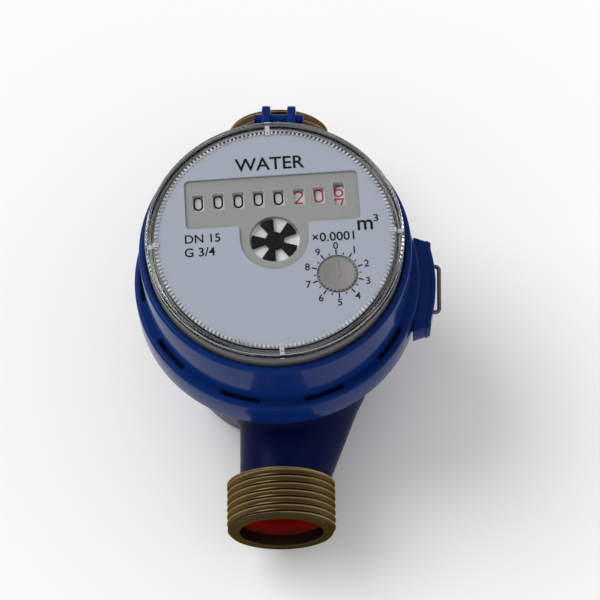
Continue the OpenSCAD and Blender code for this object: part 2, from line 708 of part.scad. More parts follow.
// Impeller group in the chamber.
module impeller() color("ivory") difference() {
  union() {
    translate([0, 0, vane_low]) cylinder(r = hub_r, h = cup_top - vane_low);
    for (i = [0:vane_count - 1]) rotate(360 * i / vane_count)
      translate([hub_r - 1, -vane_t / 2, vane_low + hub_step])
        cube([vane_r - hub_r + 1, vane_t, vane_h - hub_step]);
    translate([0, 0, vane_top - 1]) cylinder(r = magnet_cup_r, h = cup_top - vane_top + 1);
  }
  translate([0, 0, cup_top - magnet_h]) cylinder(r = magnet_r, h = magnet_h + 1);
  translate([0, 0, vane_top - 3]) cylinder(r = axle_r, h = cup_top - vane_top + 4);
  translate([0, 0, vane_low - 1]) cylinder(r = bearing_r, h = bearing_h + 1);
}

module impeller_bearing() color("crimson") translate([0, 0, vane_low]) difference() {
  cylinder(r = bearing_r, h = bearing_h);
  translate([0, 0, -1]) cylinder(r = pivot_r + run_gap, h = pivot_top - vane_low + 1);
}

module impeller_axle() color("silver")
  translate([0, 0, vane_top - 3]) cylinder(r = axle_r, h = axle_top - vane_top + 3);

module impeller_magnet() color("dimgray")
  translate([0, 0, cup_top - magnet_h]) tube(magnet_r - run_gap, axle_r, magnet_h);

// Central shaft of the register: follower magnet, pinion and flow star.
star_shaft_low = ledge_z + divider_thin_t + 0.4;
module star_shaft() color("silver")
  translate([0, 0, star_shaft_low]) cylinder(r = star_shaft_r, h = star_top - 0.4 - star_shaft_low);

module follower_magnet() color("dimgray")
  translate([0, 0, star_shaft_low + 0.4]) tube(magnet_r, star_shaft_r, magnet_h);

module centre_pinion() color("gold") in_register() translate([0, 0, level(0) - level_gap / 2]) difference() {
  union() {
    cylinder(r = 1.6, h = level_gap / 2);
    translate([0, 0, level_gap / 2])
      gear(pinion_teeth, train_module, gear_w, atan2(idler_at[1], idler_at[0]));
  }
  translate([0, 0, -1]) cylinder(r = star_shaft_r, h = gear_w + level_gap + 2);
}

module flow_star() color([0.1, 0.1, 0.1]) in_register() translate([0, 0, star_low]) difference() {
  union() {
    cylinder(r = star_hub_r, h = star_t);
    half_blade = 90 / star_blades;
    for (i = [0:star_blades - 1]) rotate(star_phase + 360 * i / star_blades)
      linear_extrude(star_t) polygon(concat(
        [polar(star_hub_r / 2, half_blade), polar(star_hub_r / 2, -half_blade)],
        arc(0, 0, star_r, -half_blade, half_blade, 6)));
  }
  translate([0, 0, -1]) cylinder(r = star_shaft_r, h = star_t - 0.4 + 1);
}

// Reduction gear: the large wheel meets the centre pinion, and its own pinion meets the worm arbor.
function half_tooth(teeth) = 180 / teeth;
idler_to_centre = atan2(-idler_at[1], -idler_at[0]);
idler_to_worm = atan2(worm_at[1] - idler_at[1], worm_at[0] - idler_at[0]);
module reduction_gear() color("gold") in_register()
  translate([idler_at[0], idler_at[1], level(0)]) difference() {
  union() {
    gear(wheel_teeth, train_module, gear_w, idler_to_centre + half_tooth(wheel_teeth));
    cylinder(r = 1.3, h = gear_w + level_gap + eps);
    translate([0, 0, gear_w + level_gap]) gear(pinion_teeth, train_module, gear_w, idler_to_worm);
  }
  translate([0, 0, -1]) cylinder(r = train_shaft_r + run_gap, h = 2 * gear_w + level_gap + 2);
}

// Worm arbor: driven wheel and take-off pinion for the small dial on one long shaft.
module worm_arbor() color("goldenrod") in_register() translate([worm_at[0], worm_at[1], 0]) {
  translate([0, 0, shaft_foot])
    cylinder(r = train_shaft_r, h = frame_low + frame_t / 2 - run_gap - shaft_foot);
  translate([0, 0, level(1)])
    gear(wheel_teeth, train_module, gear_w, idler_to_worm + 180 + half_tooth(wheel_teeth));
  translate([0, 0, level(1) + gear_w - eps]) cylinder(r = arbor_hub_r, h = level_gap + 2 * eps);
  translate([0, 0, level(2)]) gear(take_off_teeth, pointer_module, gear_w, worm_to_pointer);
}

// Height of the worm's thread over one turn, as a share of its full depth.
function thread_height(u) = max(0, min(1, (0.3 - abs(u - 0.5)) / 0.18));

// Single-start left-hand worm, pressed on the arbor beside the fastest number wheel.
module counter_worm() color("goldenrod") in_register() translate([worm_at[0], worm_at[1], worm_low]) {
  steps = 16;
  difference() {
    linear_extrude(worm_len, twist = 360 * worm_len / worm_pitch, slices = 28, segments = steps, $fn = steps)
      polygon([for (i = [0:steps - 1])
        polar(worm_root + (worm_tip - worm_root) * thread_height(i / steps),
          worm_phase + 360 * (i / steps - 0.5))]);
    translate([0, 0, -1]) cylinder(r = train_shaft_r, h = worm_len + 2);
  }
}

worm_to_pointer = atan2(pointer_at[1] - worm_at[1], pointer_at[0] - worm_at[0]);
module pointer_gear() color("gold") in_register() translate([pointer_at[0], pointer_at[1], 0]) {
  translate([0, 0, shaft_foot]) cylinder(r = train_shaft_r, h = frame_top + dial_t - 0.2 - shaft_foot);
  translate([0, 0, level(2)])
    gear(wheel_teeth, pointer_module, gear_w, worm_to_pointer + 180 + half_tooth(wheel_teeth));
}

module pointer_disc() color("gray") in_register()
  translate([pointer_at[0], pointer_at[1], frame_top + run_gap]) difference() {
    cylinder(r = pointer_r, h = pointer_t);
    translate([0, 0, -1]) cylinder(r = train_shaft_r, h = dial_t - 0.2 - run_gap + 1);
  }

// Number wheel: rim, twenty-tooth gear on the right and two carry teeth on the left.
module number_wheel(i) color("whitesmoke") in_register()
  translate([wheel_x(i), counter_y, counter_z]) along_x()
  difference() {
    union() {
      translate([0, 0, -drum_w / 2]) cylinder(r = drum_r, h = drum_w);
      hub_w = i == wheel_count ? drive_hub_w : 0;
      translate([0, 0, drum_w / 2 - eps]) cylinder(r = drive_hub_r, h = hub_w + 2 * eps);
      translate([0, 0, drum_w / 2 + hub_w - eps])
        gear(counter_teeth, carry_module, counter_gear_w + eps, tooth_phase);
      translate([0, 0, -drum_w / 2 - carry_disc_w]) {
        cylinder(r = carry_disc_r, h = carry_disc_w + eps);
        for (s = [-1, 1]) rotate(tooth_phase + 180 + s * 180 / counter_teeth)
          translate([0, -0.3, 0]) cube([counter_gear_r + addendum * carry_module, 0.6, carry_disc_w + eps]);
      }
    }
    translate([0, 0, -drum_w]) cylinder(r = counter_shaft_r + run_gap, h = 3 * drum_w);
  }

module carry_pinion(i) color("gold") in_register()
  translate([wheel_x(i) + wheel_pitch / 2 - carry_pinion_w / 2, carry_y, carry_z]) along_x() difference() {
    gear(carry_teeth, carry_module, carry_pinion_w, 270 - carry_angle);
    translate([0, 0, -1]) cylinder(r = carry_shaft_r + run_gap, h = carry_pinion_w + 2);
  }

body();
inlet_strainer();
chamber_pivot();
divider_plate();
divider_o_ring();
magnetic_shield();
cover_gasket();
clear_cover();
lock_ring();
seal_wire();
register_base();
idler_post();
bridge_plate();
counter_frame();
dial_plate();
counter_shaft();
carry_shaft();
impeller();
impeller_bearing();
impeller_axle();
impeller_magnet();
star_shaft();
follower_magnet();
centre_pinion();
flow_star();
reduction_gear();
worm_arbor();
counter_worm();
pointer_gear();
pointer_disc();
for (i = [1:wheel_count]) number_wheel(i);
for (i = [1:wheel_count - 1]) carry_pinion(i);
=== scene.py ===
"""Looks of a cold-water meter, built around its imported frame."""
import math

import bmesh
import bpy
import numpy as np
from mathutils import Matrix, Vector


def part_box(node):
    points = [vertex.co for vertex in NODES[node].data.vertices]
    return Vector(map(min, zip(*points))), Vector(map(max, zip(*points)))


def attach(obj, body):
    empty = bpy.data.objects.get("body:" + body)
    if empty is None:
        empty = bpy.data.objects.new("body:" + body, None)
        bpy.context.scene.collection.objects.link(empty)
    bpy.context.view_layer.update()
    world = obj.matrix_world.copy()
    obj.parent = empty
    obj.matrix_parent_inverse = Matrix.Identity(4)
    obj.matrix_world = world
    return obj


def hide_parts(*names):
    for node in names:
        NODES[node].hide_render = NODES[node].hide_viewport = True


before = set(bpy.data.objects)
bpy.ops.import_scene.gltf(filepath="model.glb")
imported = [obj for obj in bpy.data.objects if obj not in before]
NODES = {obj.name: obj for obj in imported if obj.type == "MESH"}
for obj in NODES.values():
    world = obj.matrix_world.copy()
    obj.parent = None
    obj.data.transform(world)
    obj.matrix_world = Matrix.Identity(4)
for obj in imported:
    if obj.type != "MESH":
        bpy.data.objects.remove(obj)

bl_info = {
    "name": "Water meter",
    "version": (1, 0, 0),
    "blender": (4, 5, 0),
    "location": "3D View > Sidebar > Water meter",
    "description": "Casting, ring, clear cover, dial and counter of a cold-water meter",
    "category": "Object",
}

MM = 0.001

# Turns in radians, places and sizes in millimetres
REGISTER_TURN = math.radians(3.1)
RING_TURN = math.radians(-1.7)
PIPE_Z = 18.0
PORT_Y = 55.0
PORT_BORE = 10.15
THREAD_BACK = 42.8
RING_LOW, FLANGE_TOP, RING_TOP = 37.1, 46.7, 63.4
COUNTER = (10.697, 59.2)
DRUM_R = 6.2
DIGIT_WIDE, DIGIT_TALL = 2.25, 3.6
WHEEL_X = [-17.32 + 4.72 * i for i in range(8)]
SMALL_DIAL = (13.96, -10.27)
DIAL_TOP = 67.4
READING = [0.10, 0.14, 0.11, 0.15, 0.13, 2.10, 0.12, 6.39]


# Sizes and colours

class MeterSizes(bpy.types.PropertyGroup):
    """Sizes of the dressed pieces."""
    rim_r: bpy.props.FloatProperty(
        name="Rim radius", description="Outside of the casting's rim", default=0.03119, unit="LENGTH")
    neck_r: bpy.props.FloatProperty(
        name="Neck radius", description="Round part of the necks", default=0.0106, unit="LENGTH")
    neck_blend: bpy.props.FloatProperty(
        name="Neck fillet", description="Fillet where a neck meets the bowl", default=0.003, unit="LENGTH")
    thread_r: bpy.props.FloatProperty(
        name="Thread radius", description="Crest of the port threads", default=0.01322, unit="LENGTH")
    thread_pitch: bpy.props.FloatProperty(
        name="Thread pitch", description="Distance between two turns", default=0.001814, unit="LENGTH")
    thread_depth: bpy.props.FloatProperty(
        name="Thread depth", description="Crest to root", default=0.0007, unit="LENGTH")
    flange_r: bpy.props.FloatProperty(
        name="Ring flange radius", description="Lower tier of the lock ring", default=0.03434, unit="LENGTH")
    tier_r: bpy.props.FloatProperty(
        name="Ring tier radius", description="Upper tier of the lock ring", default=0.03199, unit="LENGTH")
    ring_round: bpy.props.FloatProperty(
        name="Ring edge round", description="Rounding of the ring's outer edges", default=0.0008, unit="LENGTH")
    cover_r: bpy.props.FloatProperty(
        name="Cover radius", description="Outside of the clear cover", default=0.03014, unit="LENGTH")
    dial_r: bpy.props.FloatProperty(
        name="Dial radius", description="Edge of the dial plate", default=0.02758, unit="LENGTH")
    edge_marks: bpy.props.IntProperty(
        name="Edge teeth", description="Small clear teeth over the dial's edge", default=172, min=24)
    digit_stroke: bpy.props.FloatProperty(
        name="Digit stroke", description="Line width of the counter's digits", default=0.00041, unit="LENGTH")
    star_blades: bpy.props.IntProperty(
        name="Star blades", description="Blades of the flow star", default=5, min=3)
    disc_teeth: bpy.props.IntProperty(
        name="Disc teeth", description="Teeth round the small dial's disc", default=30, min=6)


def colour(label, note, value):
    return bpy.props.FloatVectorProperty(
        name=label, description=note, subtype="COLOR", size=3, min=0, max=1, default=value)


class MeterColours(bpy.types.PropertyGroup):
    """Colours of the finishes, linear."""
    ring_blue: colour("Ring blue", "Moulded lock ring", (0.0028, 0.0195, 0.118))
    body_blue: colour("Body blue", "Enamel on the casting", (0.0026, 0.0053, 0.037))
    brass: colour("Brass", "Turned threads", (0.40, 0.26, 0.10))
    strainer: colour("Strainer red", "Strainer in the inlet", (0.34, 0.004, 0.003))
    dial: colour("Dial", "Printed dial plate", (0.38, 0.40, 0.475))
    panel: colour("Panel", "Counter frame", (0.31, 0.303, 0.295))
    wheel: colour("Wheels", "Number wheels", (0.58, 0.58, 0.58))
    ink: colour("Ink", "Print on the dial and wheels", (0.005, 0.005, 0.006))
    red_ink: colour("Red ink", "Digits of the last three wheels", (0.45, 0.012, 0.02))


# Shapes, in millimetres

def lathe(profile, angles=192):
    """Turns a closed (radius, height) profile about Z; a point at radius 0 is a pole."""
    turns = np.linspace(0, 2 * np.pi, angles, endpoint=False)
    verts, rings, faces = [], [], []
    for r, z in profile:
        size = 1 if np.ndim(r) == 0 and r < 1e-6 else angles
        rings.append(range(len(verts), len(verts) + size))
        rr = np.broadcast_to(r, size)
        verts += [(rr[k] * math.cos(turns[k]), rr[k] * math.sin(turns[k]), z) for k in range(size)]
    for a, b in zip(rings, rings[1:] + rings[:1]):
        if len(a) == 1 and len(b) == 1:
            continue
        for k in range(angles):
            n = (k + 1) % angles
            quad = [a[k % len(a)], a[n % len(a)], b[n % len(b)], b[k % len(b)]]
            faces.append(list(dict.fromkeys(quad)))
    return verts, faces


def quarter(cx, cz, r, a0, steps=6):
    """Quarter round of a corner, from angle a0 on."""
    return [(cx + r * math.cos(math.radians(a0 + 90 * i / steps)),
             cz + r * math.sin(math.radians(a0 + 90 * i / steps))) for i in range(steps + 1)]


def rounded(points, radius, steps=5):
    """Closed loop with each corner rounded; radius is one number or one for each corner."""
    out = []
    radii = [radius] * len(points) if np.isscalar(radius) else radius
    for i, (point, r) in enumerate(zip(points, radii)):
        p = Vector(point)
        a = Vector(points[i - 1]) - p
        b = Vector(points[(i + 1) % len(points)]) - p
        if r <= 0:
            out.append(tuple(p))
            continue
        half = a.angle(b) / 2
        reach = min(r / math.tan(half), 0.45 * a.length, 0.45 * b.length)
        a.normalize()
        b.normalize()
        centre = p + (a + b).normalized() * (reach / math.cos(half))
        u, v = p + a * reach - centre, p + b * reach - centre
        swing = u.angle(v)
        for k in range(steps + 1):
            t = k / steps
            out.append(tuple(centre + (u * math.sin((1 - t) * swing) + v * math.sin(t * swing)) / math.sin(swing)))
    return out


def slab(loop, low, high, bevel, turn=None, steps=3):
    """Prism on a flat loop with rounded edges; turn maps its points to their place."""
    bm = bmesh.new()
    face = bm.faces.new([bm.verts.new((x, y, low)) for x, y in loop])
    top = bmesh.ops.extrude_face_region(bm, geom=[face])["geom"]
    bmesh.ops.translate(bm, verts=[v for v in top if isinstance(v, bmesh.types.BMVert)], vec=(0, 0, high - low))
    bmesh.ops.recalc_face_normals(bm, faces=bm.faces)
    sharp = [e for e in bm.edges if e.calc_face_angle(0) > 0.45]
    bmesh.ops.bevel(bm, geom=sharp, offset=bevel, segments=steps, profile=0.5, affect="EDGES", clamp_overlap=True)
    bm.verts.index_update()
    verts = [tuple(v.co) if turn is None else turn(*v.co) for v in bm.verts]
    faces = [[v.index for v in f.verts] for f in bm.faces]
    bm.free()
    return verts, faces


def together(*shapes):
    """Several shells as one mesh."""
    verts, faces = [], []
    for v, f in shapes:
        faces += [[i + len(verts) for i in face] for face in f]
        verts += list(v)
    return verts, faces


def spun(shape, turn, at=(0, 0, 0)):
    """A shape moved by at and then turned about the meter's axis."""
    c, s = math.cos(turn), math.sin(turn)
    verts = [((x + at[0]) * c - (y + at[1]) * s, (x + at[0]) * s + (y + at[1]) * c, z + at[2])
             for x, y, z in shape[0]]
    return verts, shape[1]


def as_object(name, shape):
    """New object at the origin, in metres."""
    mesh = bpy.data.meshes.new(name)
    mesh.from_pydata([(x * MM, y * MM, z * MM) for x, y, z in shape[0]], [], shape[1])
    obj = bpy.data.objects.new(name, mesh)
    bpy.context.scene.collection.objects.link(obj)
    return obj


def settle(obj, body, slot, material, *nodes, crease=35):
    """Closes seams, turns faces outwards, shades, and seats a finished piece on its body."""
    bm = bmesh.new()
    bm.from_mesh(obj.data)
    bmesh.ops.remove_doubles(bm, verts=bm.verts, dist=2e-6)
    bmesh.ops.dissolve_degenerate(bm, edges=bm.edges, dist=1e-7)
    bmesh.ops.recalc_face_normals(bm, faces=bm.faces)
    bm.to_mesh(obj.data)
    bm.free()
    obj.data.shade_smooth()
    obj.data.set_sharp_from_angle(angle=math.radians(crease))
    obj.data.materials.clear()
    obj.data.materials.append(material)
    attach(obj, body)
    if nodes:
        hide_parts(*nodes)
    return obj


def flat_plate(loops, low, high, bevel):
    """Plate on an outline with holes, with eased edges, as a shape in millimetres."""
    curve = bpy.data.curves.new("outline", "CURVE")
    curve.dimensions = "2D"
    curve.fill_mode = "BOTH"
    curve.extrude = (high - low) / 2 - bevel
    curve.bevel_depth = bevel
    curve.offset = -bevel
    curve.bevel_resolution = 2
    for loop in loops:
        spline = curve.splines.new("POLY")
        spline.points.add(len(loop) - 1)
        spline.points.foreach_set("co", [c for x, y in loop for c in (x, y, 0, 1)])
        spline.use_cyclic_u = True
    return drawn(curve, lambda v: (v[0], v[1], v[2] + (low + high) / 2))


def drawn(curve, place):
    """A curve or text made a mesh, with its points moved by place."""
    obj = bpy.data.objects.new("drawn", curve)
    bpy.context.scene.collection.objects.link(obj)
    graph = bpy.context.evaluated_depsgraph_get()
    mesh = bpy.data.meshes.new_from_object(obj.evaluated_get(graph))
    shape = ([place(v.co) for v in mesh.vertices], [list(p.vertices) for p in mesh.polygons])
    bpy.data.objects.remove(obj)
    bpy.data.curves.remove(curve)
    bpy.data.meshes.remove(mesh)
    return shape


def lettering(words, left, base, height, z, width=None, anchor=0.0):
    """Thin raised print; base is its foot and height the height of its capitals."""
    curve = bpy.data.curves.new("words", "FONT")
    curve.body = words
    curve.extrude = 0.02
    curve.offset = 0.014
    curve.resolution_u = 5
    shape = drawn(curve, lambda v: (v[0], v[1], v[2]))
    points = np.array(shape[0])
    low, high = points.min(0), points.max(0)
    scale_y = height / (high[1] - low[1])
    scale_x = scale_y if width is None else width / (high[0] - low[0])
    start = left - anchor * (high[0] - low[0]) * scale_x
    verts = [((x - low[0]) * scale_x + start, (y - low[1]) * scale_y + base, z + (0.03 if t > 0 else -0.02))
             for x, y, t in points]
    return verts, shape[1]


# What repeats: one tree sets a shape round a centre

def repeat_tree():
    """Geometry nodes that turn copies of a shape round an axis and make them one mesh."""
    if "repeat_round" in bpy.data.node_groups:
        return bpy.data.node_groups["repeat_round"]
    tree = bpy.data.node_groups.new("repeat_round", "GeometryNodeTree")
    face = tree.interface
    face.new_socket("Geometry", in_out="OUTPUT", socket_type="NodeSocketGeometry")
    for label, kind in (("Shape", "NodeSocketObject"), ("Count", "NodeSocketInt"), ("Turn", "NodeSocketFloat"),
                        ("Centre", "NodeSocketVector"), ("Finish", "NodeSocketMaterial")):
        face.new_socket(label, in_out="INPUT", socket_type=kind)

    def add(kind, **values):
        node = tree.nodes.new(kind)
        for key, value in values.items():
            setattr(node, key, value)
        return node

    given = add("NodeGroupInput")
    points = add("GeometryNodePoints")
    shape = add("GeometryNodeObjectInfo", transform_space="ORIGINAL")
    index = add("GeometryNodeInputIndex")
    step = add("ShaderNodeMath", operation="DIVIDE")
    step.inputs[0].default_value = 2 * math.pi
    angle = add("ShaderNodeMath", operation="MULTIPLY_ADD")
    euler = add("ShaderNodeCombineXYZ")
    turn = add("FunctionNodeEulerToRotation")
    copies = add("GeometryNodeInstanceOnPoints")
    move = add("GeometryNodeTransform")
    real = add("GeometryNodeRealizeInstances")
    paint = add("GeometryNodeSetMaterial")
    result = add("NodeGroupOutput")
    link = tree.links.new
    link(given.outputs["Count"], points.inputs["Count"])
    link(given.outputs["Shape"], shape.inputs["Object"])
    link(given.outputs["Count"], step.inputs[1])
    link(index.outputs[0], angle.inputs[0])
    link(step.outputs[0], angle.inputs[1])
    link(given.outputs["Turn"], angle.inputs[2])
    link(angle.outputs[0], euler.inputs["Z"])
    link(euler.outputs[0], turn.inputs[0])
    link(points.outputs[0], copies.inputs["Points"])
    link(shape.outputs["Geometry"], copies.inputs["Instance"])
    link(turn.outputs[0], copies.inputs["Rotation"])
    link(copies.outputs[0], move.inputs["Geometry"])
    link(given.outputs["Centre"], move.inputs["Translation"])
    link(move.outputs[0], real.inputs[0])
    link(real.outputs[0], paint.inputs["Geometry"])
    link(given.outputs["Finish"], paint.inputs["Material"])
    link(paint.outputs[0], result.inputs[0])
    return tree


def round_about(name, shape, count, turn, centre, material):
    """Copies of a shape about a centre, as an object with a plain mesh."""
    source = as_object(name + ".shape", shape)
    holder = as_object(name, ([], []))
    tree = repeat_tree()
    modifier = holder.modifiers.new("repeat", "NODES")
    modifier.node_group = tree
    values = {"Shape": source, "Count": count, "Turn": turn, "Finish": material,
              "Centre": [c * MM for c in centre]}
    for item in tree.interface.items_tree:
        if item.in_out == "INPUT":
            modifier[item.identifier] = values[item.name]
    graph = bpy.context.evaluated_depsgraph_get()
    mesh = bpy.data.meshes.new_from_object(holder.evaluated_get(graph))
    holder.modifiers.remove(modifier)
    holder.data = mesh
    mesh.name = name
    bpy.data.objects.remove(source)
    return holder


def merged(name, *objects):
    """Several finished meshes as one object."""
    bm = bmesh.new()
    for obj in objects:
        bm.from_mesh(obj.data)
    mesh = bpy.data.meshes.new(name)
    bm.to_mesh(mesh)
    bm.free()
    for obj in objects:
        bpy.data.objects.remove(obj)
    out = bpy.data.objects.new(name, mesh)
    bpy.context.scene.collection.objects.link(out)
    return out


# Casting: a rounded body drawn as a field and skinned

def blend(a, b, k):
    """Smooth union of two fields."""
    h = np.clip(0.5 + 0.5 * (b - a) / k, 0, 1)
    return b + (a - b) * h - k * h * (1 - h)


def casting_field(x, y, z, rim_r, neck_r, fillet):
    """Distance to the casting, below zero inside the metal."""
    foot_round, neck_shift = 3, 0.6
    r = np.hypot(x, y)
    side = (r - 24.43) * 0.9764 - (z - 2.4) * 0.2157
    a, b = -z + foot_round, side + foot_round
    bowl = np.minimum(np.maximum(a, b), 0) + np.hypot(np.maximum(a, 0), np.maximum(b, 0)) - foot_round
    bowl = -blend(-bowl, -(r - rim_r), 1.2)
    reach = np.abs(y)
    flare = 9.2 * np.clip((43.8 - reach) / 23.8, 0, 1)
    along = np.clip(x - neck_shift, 0, flare)
    neck = np.maximum(np.hypot(x - neck_shift - along, z - PIPE_Z) - neck_r, reach - 43)
    solid = -blend(-blend(bowl, neck, fillet), -(z - 46), 0.5)
    groove = np.maximum(np.abs(z - 39.25) - 1.25, 29.95 - r)
    chamber = np.maximum(r - 23.49, 7 - z)
    seat = np.maximum(r - 27.99, 34 - z)
    throat = np.maximum(np.hypot(x, z - PIPE_Z) - 8, np.maximum(36 - reach, reach - 60))
    t = np.clip((39.5 - reach) / 25.4, 0, 1)
    jet = np.maximum(np.hypot(x - 15.5 * t, z - PIPE_Z) - (7.6 - 3.1 * t), np.maximum(14.1 - reach, reach - 39.5))
    cut = np.minimum(np.minimum(groove, chamber), np.minimum(seat, np.minimum(throat, jet)))
    return -blend(-solid, cut, 0.5)


def skin(field, low, high, step):
    """Surface net of a field, with its points drawn onto the surface."""
    axes = [np.arange(a, b + step, step) for a, b in zip(low, high)]
    grid = field(*np.meshgrid(*axes, indexing="ij"))
    inside = grid < 0
    corners = [(i, j, k) for i in (0, 1) for j in (0, 1) for k in (0, 1)]
    shape = tuple(n - 1 for n in grid.shape)

    def corner(values, c):
        return values[c[0]:c[0] + shape[0], c[1]:c[1] + shape[1], c[2]:c[2] + shape[2]]

    count = sum(corner(inside, c).astype(int) for c in corners)
    cells = np.argwhere((count > 0) & (count < 8))
    number = -np.ones(shape, int)
    number[tuple(cells.T)] = np.arange(len(cells))
    total, hits = np.zeros((len(cells), 3)), np.zeros(len(cells))
    for a in corners:
        for b in corners:
            if a < b and sum(abs(p - q) for p, q in zip(a, b)) == 1:
                fa, fb = grid[tuple((cells + a).T)], grid[tuple((cells + b).T)]
                cross = (fa < 0) != (fb < 0)
                t = fa[cross] / (fa[cross] - fb[cross])
                total[cross] += cells[cross] + np.array(a) + t[:, None] * (np.array(b) - np.array(a))
                hits[cross] += 1
    points = np.array(low) + step * total / hits[:, None]
    for _ in range(3):
        f = field(*points.T)
        slope = np.stack([field(*(points + h).T) - field(*(points - h).T) for h in np.eye(3) * 0.05], 1) / 0.1
        push = (f / np.maximum((slope ** 2).sum(1), 0.2))[:, None] * slope
        points -= np.clip(push, -0.3 * step, 0.3 * step)
    faces = []
    for axis in range(3):
        ahead = np.roll(inside, -1, axis)
        change = np.argwhere(inside != ahead)
        p, q = [a for a in range(3) if a != axis]
        keep = (change[:, axis] < shape[axis]) & (change[:, p] > 0) & (change[:, q] > 0)
        keep &= (change[:, p] < shape[p]) & (change[:, q] < shape[q])
        change = change[keep]
        ring = []
        for dp, dq in ((1, 1), (0, 1), (0, 0), (1, 0)):
            at = change.copy()
            at[:, p] -= dp
            at[:, q] -= dq
            ring.append(number[tuple(at.T)])
        quads = np.stack(ring, 1)
        flip = inside[tuple(change.T)] == (axis == 1)
        quads[flip] = quads[flip][:, ::-1]
        faces += quads.tolist()
    return [tuple(p) for p in points], faces


# Finishes

def nodes_of(name):
    material = bpy.data.materials.new(name)
    material.use_nodes = True
    tree = material.node_tree
    return material, tree, tree.nodes["Principled BSDF"]


def grained(name, colour, other, rough, spread, grain, bump, stretch=(1, 1, 1), **values):
    """Finish with a fine grain in its colour, gloss and relief, on the piece's own coordinates."""
    material, tree, shader = nodes_of(name)
    add, link = tree.nodes.new, tree.links.new
    place, mapping = add("ShaderNodeTexCoord"), add("ShaderNodeMapping")
    mapping.inputs["Scale"].default_value = stretch
    link(place.outputs["Object"], mapping.inputs["Vector"])
    fine, broad = add("ShaderNodeTexNoise"), add("ShaderNodeTexNoise")
    fine.inputs["Scale"].default_value = grain
    fine.inputs["Detail"].default_value = 4
    broad.inputs["Scale"].default_value = grain * 0.11
    broad.inputs["Detail"].default_value = 3
    for node in (fine, broad):
        link(mapping.outputs[0], node.inputs["Vector"])
    tint = add("ShaderNodeMix")
    tint.data_type = "RGBA"
    tint.inputs["A"].default_value = (*colour, 1)
    tint.inputs["B"].default_value = (*other, 1)
    link(broad.outputs["Fac"], tint.inputs["Factor"])
    gloss = add("ShaderNodeMapRange")
    gloss.inputs["From Min"].default_value = 0.3
    gloss.inputs["From Max"].default_value = 0.7
    gloss.inputs["To Min"].default_value = rough - spread
    gloss.inputs["To Max"].default_value = rough + spread
    link(fine.outputs["Fac"], gloss.inputs["Value"])
    relief = add("ShaderNodeBump")
    relief.inputs["Strength"].default_value = 0.6
    relief.inputs["Distance"].default_value = bump
    link(fine.outputs["Fac"], relief.inputs["Height"])
    link(tint.outputs["Result"], shader.inputs["Base Color"])
    link(gloss.outputs[0], shader.inputs["Roughness"])
    link(relief.outputs[0], shader.inputs["Normal"])
    for key, value in values.items():
        shader.inputs[key.replace("_", " ")].default_value = value
    return material


def scaled(colour, share):
    return tuple(min(1, c * share) for c in colour)


def deepened(material, colour):
    """Painted shade: draws a finish towards a darker colour where the piece's own painted-shade values say so."""
    tree = material.node_tree
    shader = tree.nodes["Principled BSDF"]
    painted_shade = tree.nodes.new("ShaderNodeAttribute")
    painted_shade.attribute_name = "painted_shade"
    painted_dark = tree.nodes.new("ShaderNodeMix")
    painted_dark.data_type = "RGBA"
    painted_dark.inputs["B"].default_value = (*colour, 1)
    tree.links.new(shader.inputs["Base Color"].links[0].from_socket, painted_dark.inputs["A"])
    tree.links.new(painted_shade.outputs["Fac"], painted_dark.inputs["Factor"])
    tree.links.new(painted_dark.outputs["Result"], shader.inputs["Base Color"])
    return material


def mark_deep(obj, values):
    """Stores the painted-shade values on the points of a piece."""
    layer = obj.data.attributes.new("painted_shade", "FLOAT", "POINT")
    layer.data.foreach_set("value", np.clip(values, 0, 1).astype(np.float32))
    return obj


def clear_finish():
    """Clear moulded plastic that lets the light through to the dial."""
    material = grained("clear_plastic", (0.93, 0.96, 0.97), (0.97, 0.98, 0.98), 0.03, 0.02, 300, 2e-6,
                       Transmission_Weight=1.0, IOR=1.49, Specular_Tint=(0.12, 0.12, 0.12, 1))
    tree = material.node_tree
    path, either, see, mix = (tree.nodes.new(kind) for kind in (
        "ShaderNodeLightPath", "ShaderNodeMath", "ShaderNodeBsdfTransparent", "ShaderNodeMixShader"))
    either.operation = "MAXIMUM"
    see.inputs["Color"].default_value = (0.94, 0.95, 0.95, 1)
    tree.links.new(path.outputs["Is Shadow Ray"], either.inputs[0])
    tree.links.new(path.outputs["Is Diffuse Ray"], either.inputs[1])
    tree.links.new(either.outputs[0], mix.inputs["Fac"])
    tree.links.new(tree.nodes["Principled BSDF"].outputs[0], mix.inputs[1])
    tree.links.new(see.outputs[0], mix.inputs[2])
    tree.links.new(mix.outputs[0], tree.nodes["Material Output"].inputs["Surface"])
    return material


PLAIN = {
    "gear_plastic": ((0.72, 0.68, 0.56), 0.42, {}),
    "divider_plastic": ((0.68, 0.69, 0.68), 0.45, {}),
    "impeller_plastic": ((0.70, 0.68, 0.60), 0.4, {}),
    "bearing_red": ((0.42, 0.02, 0.035), 0.2, {}),
    "bridge_metal": ((0.62, 0.63, 0.64), 0.42, {"Metallic": 1.0}),
    "steel": ((0.55, 0.56, 0.57), 0.28, {"Metallic": 1.0}),
    "magnet_dark": ((0.05, 0.05, 0.052), 0.6, {}),
    "rubber_black": ((0.018, 0.018, 0.018), 0.65, {}),
    "wire_dark": ((0.05, 0.05, 0.055), 0.35, {"Metallic": 1.0}),
}


def plain_finish(slot):
    """Finish of the inner pieces, made once for each slot."""
    if slot not in bpy.data.materials:
        colour, rough, values = PLAIN[slot]
        grained(slot, scaled(colour, 0.88), colour, rough, 0.07, 700, 2e-5, **values)
    return bpy.data.materials[slot]


def dress(node, material):
    """Gives a frame node its finish."""
    NODES[node].data.materials.clear()
    NODES[node].data.materials.append(material)


# Operators, one for each piece or group of like pieces

class PieceOperator:
    """What the operators share."""
    bl_options = {"REGISTER"}

    def execute(self, context):
        self.make(context.scene.meter_sizes, context.scene.meter_colours)
        return {"FINISHED"}


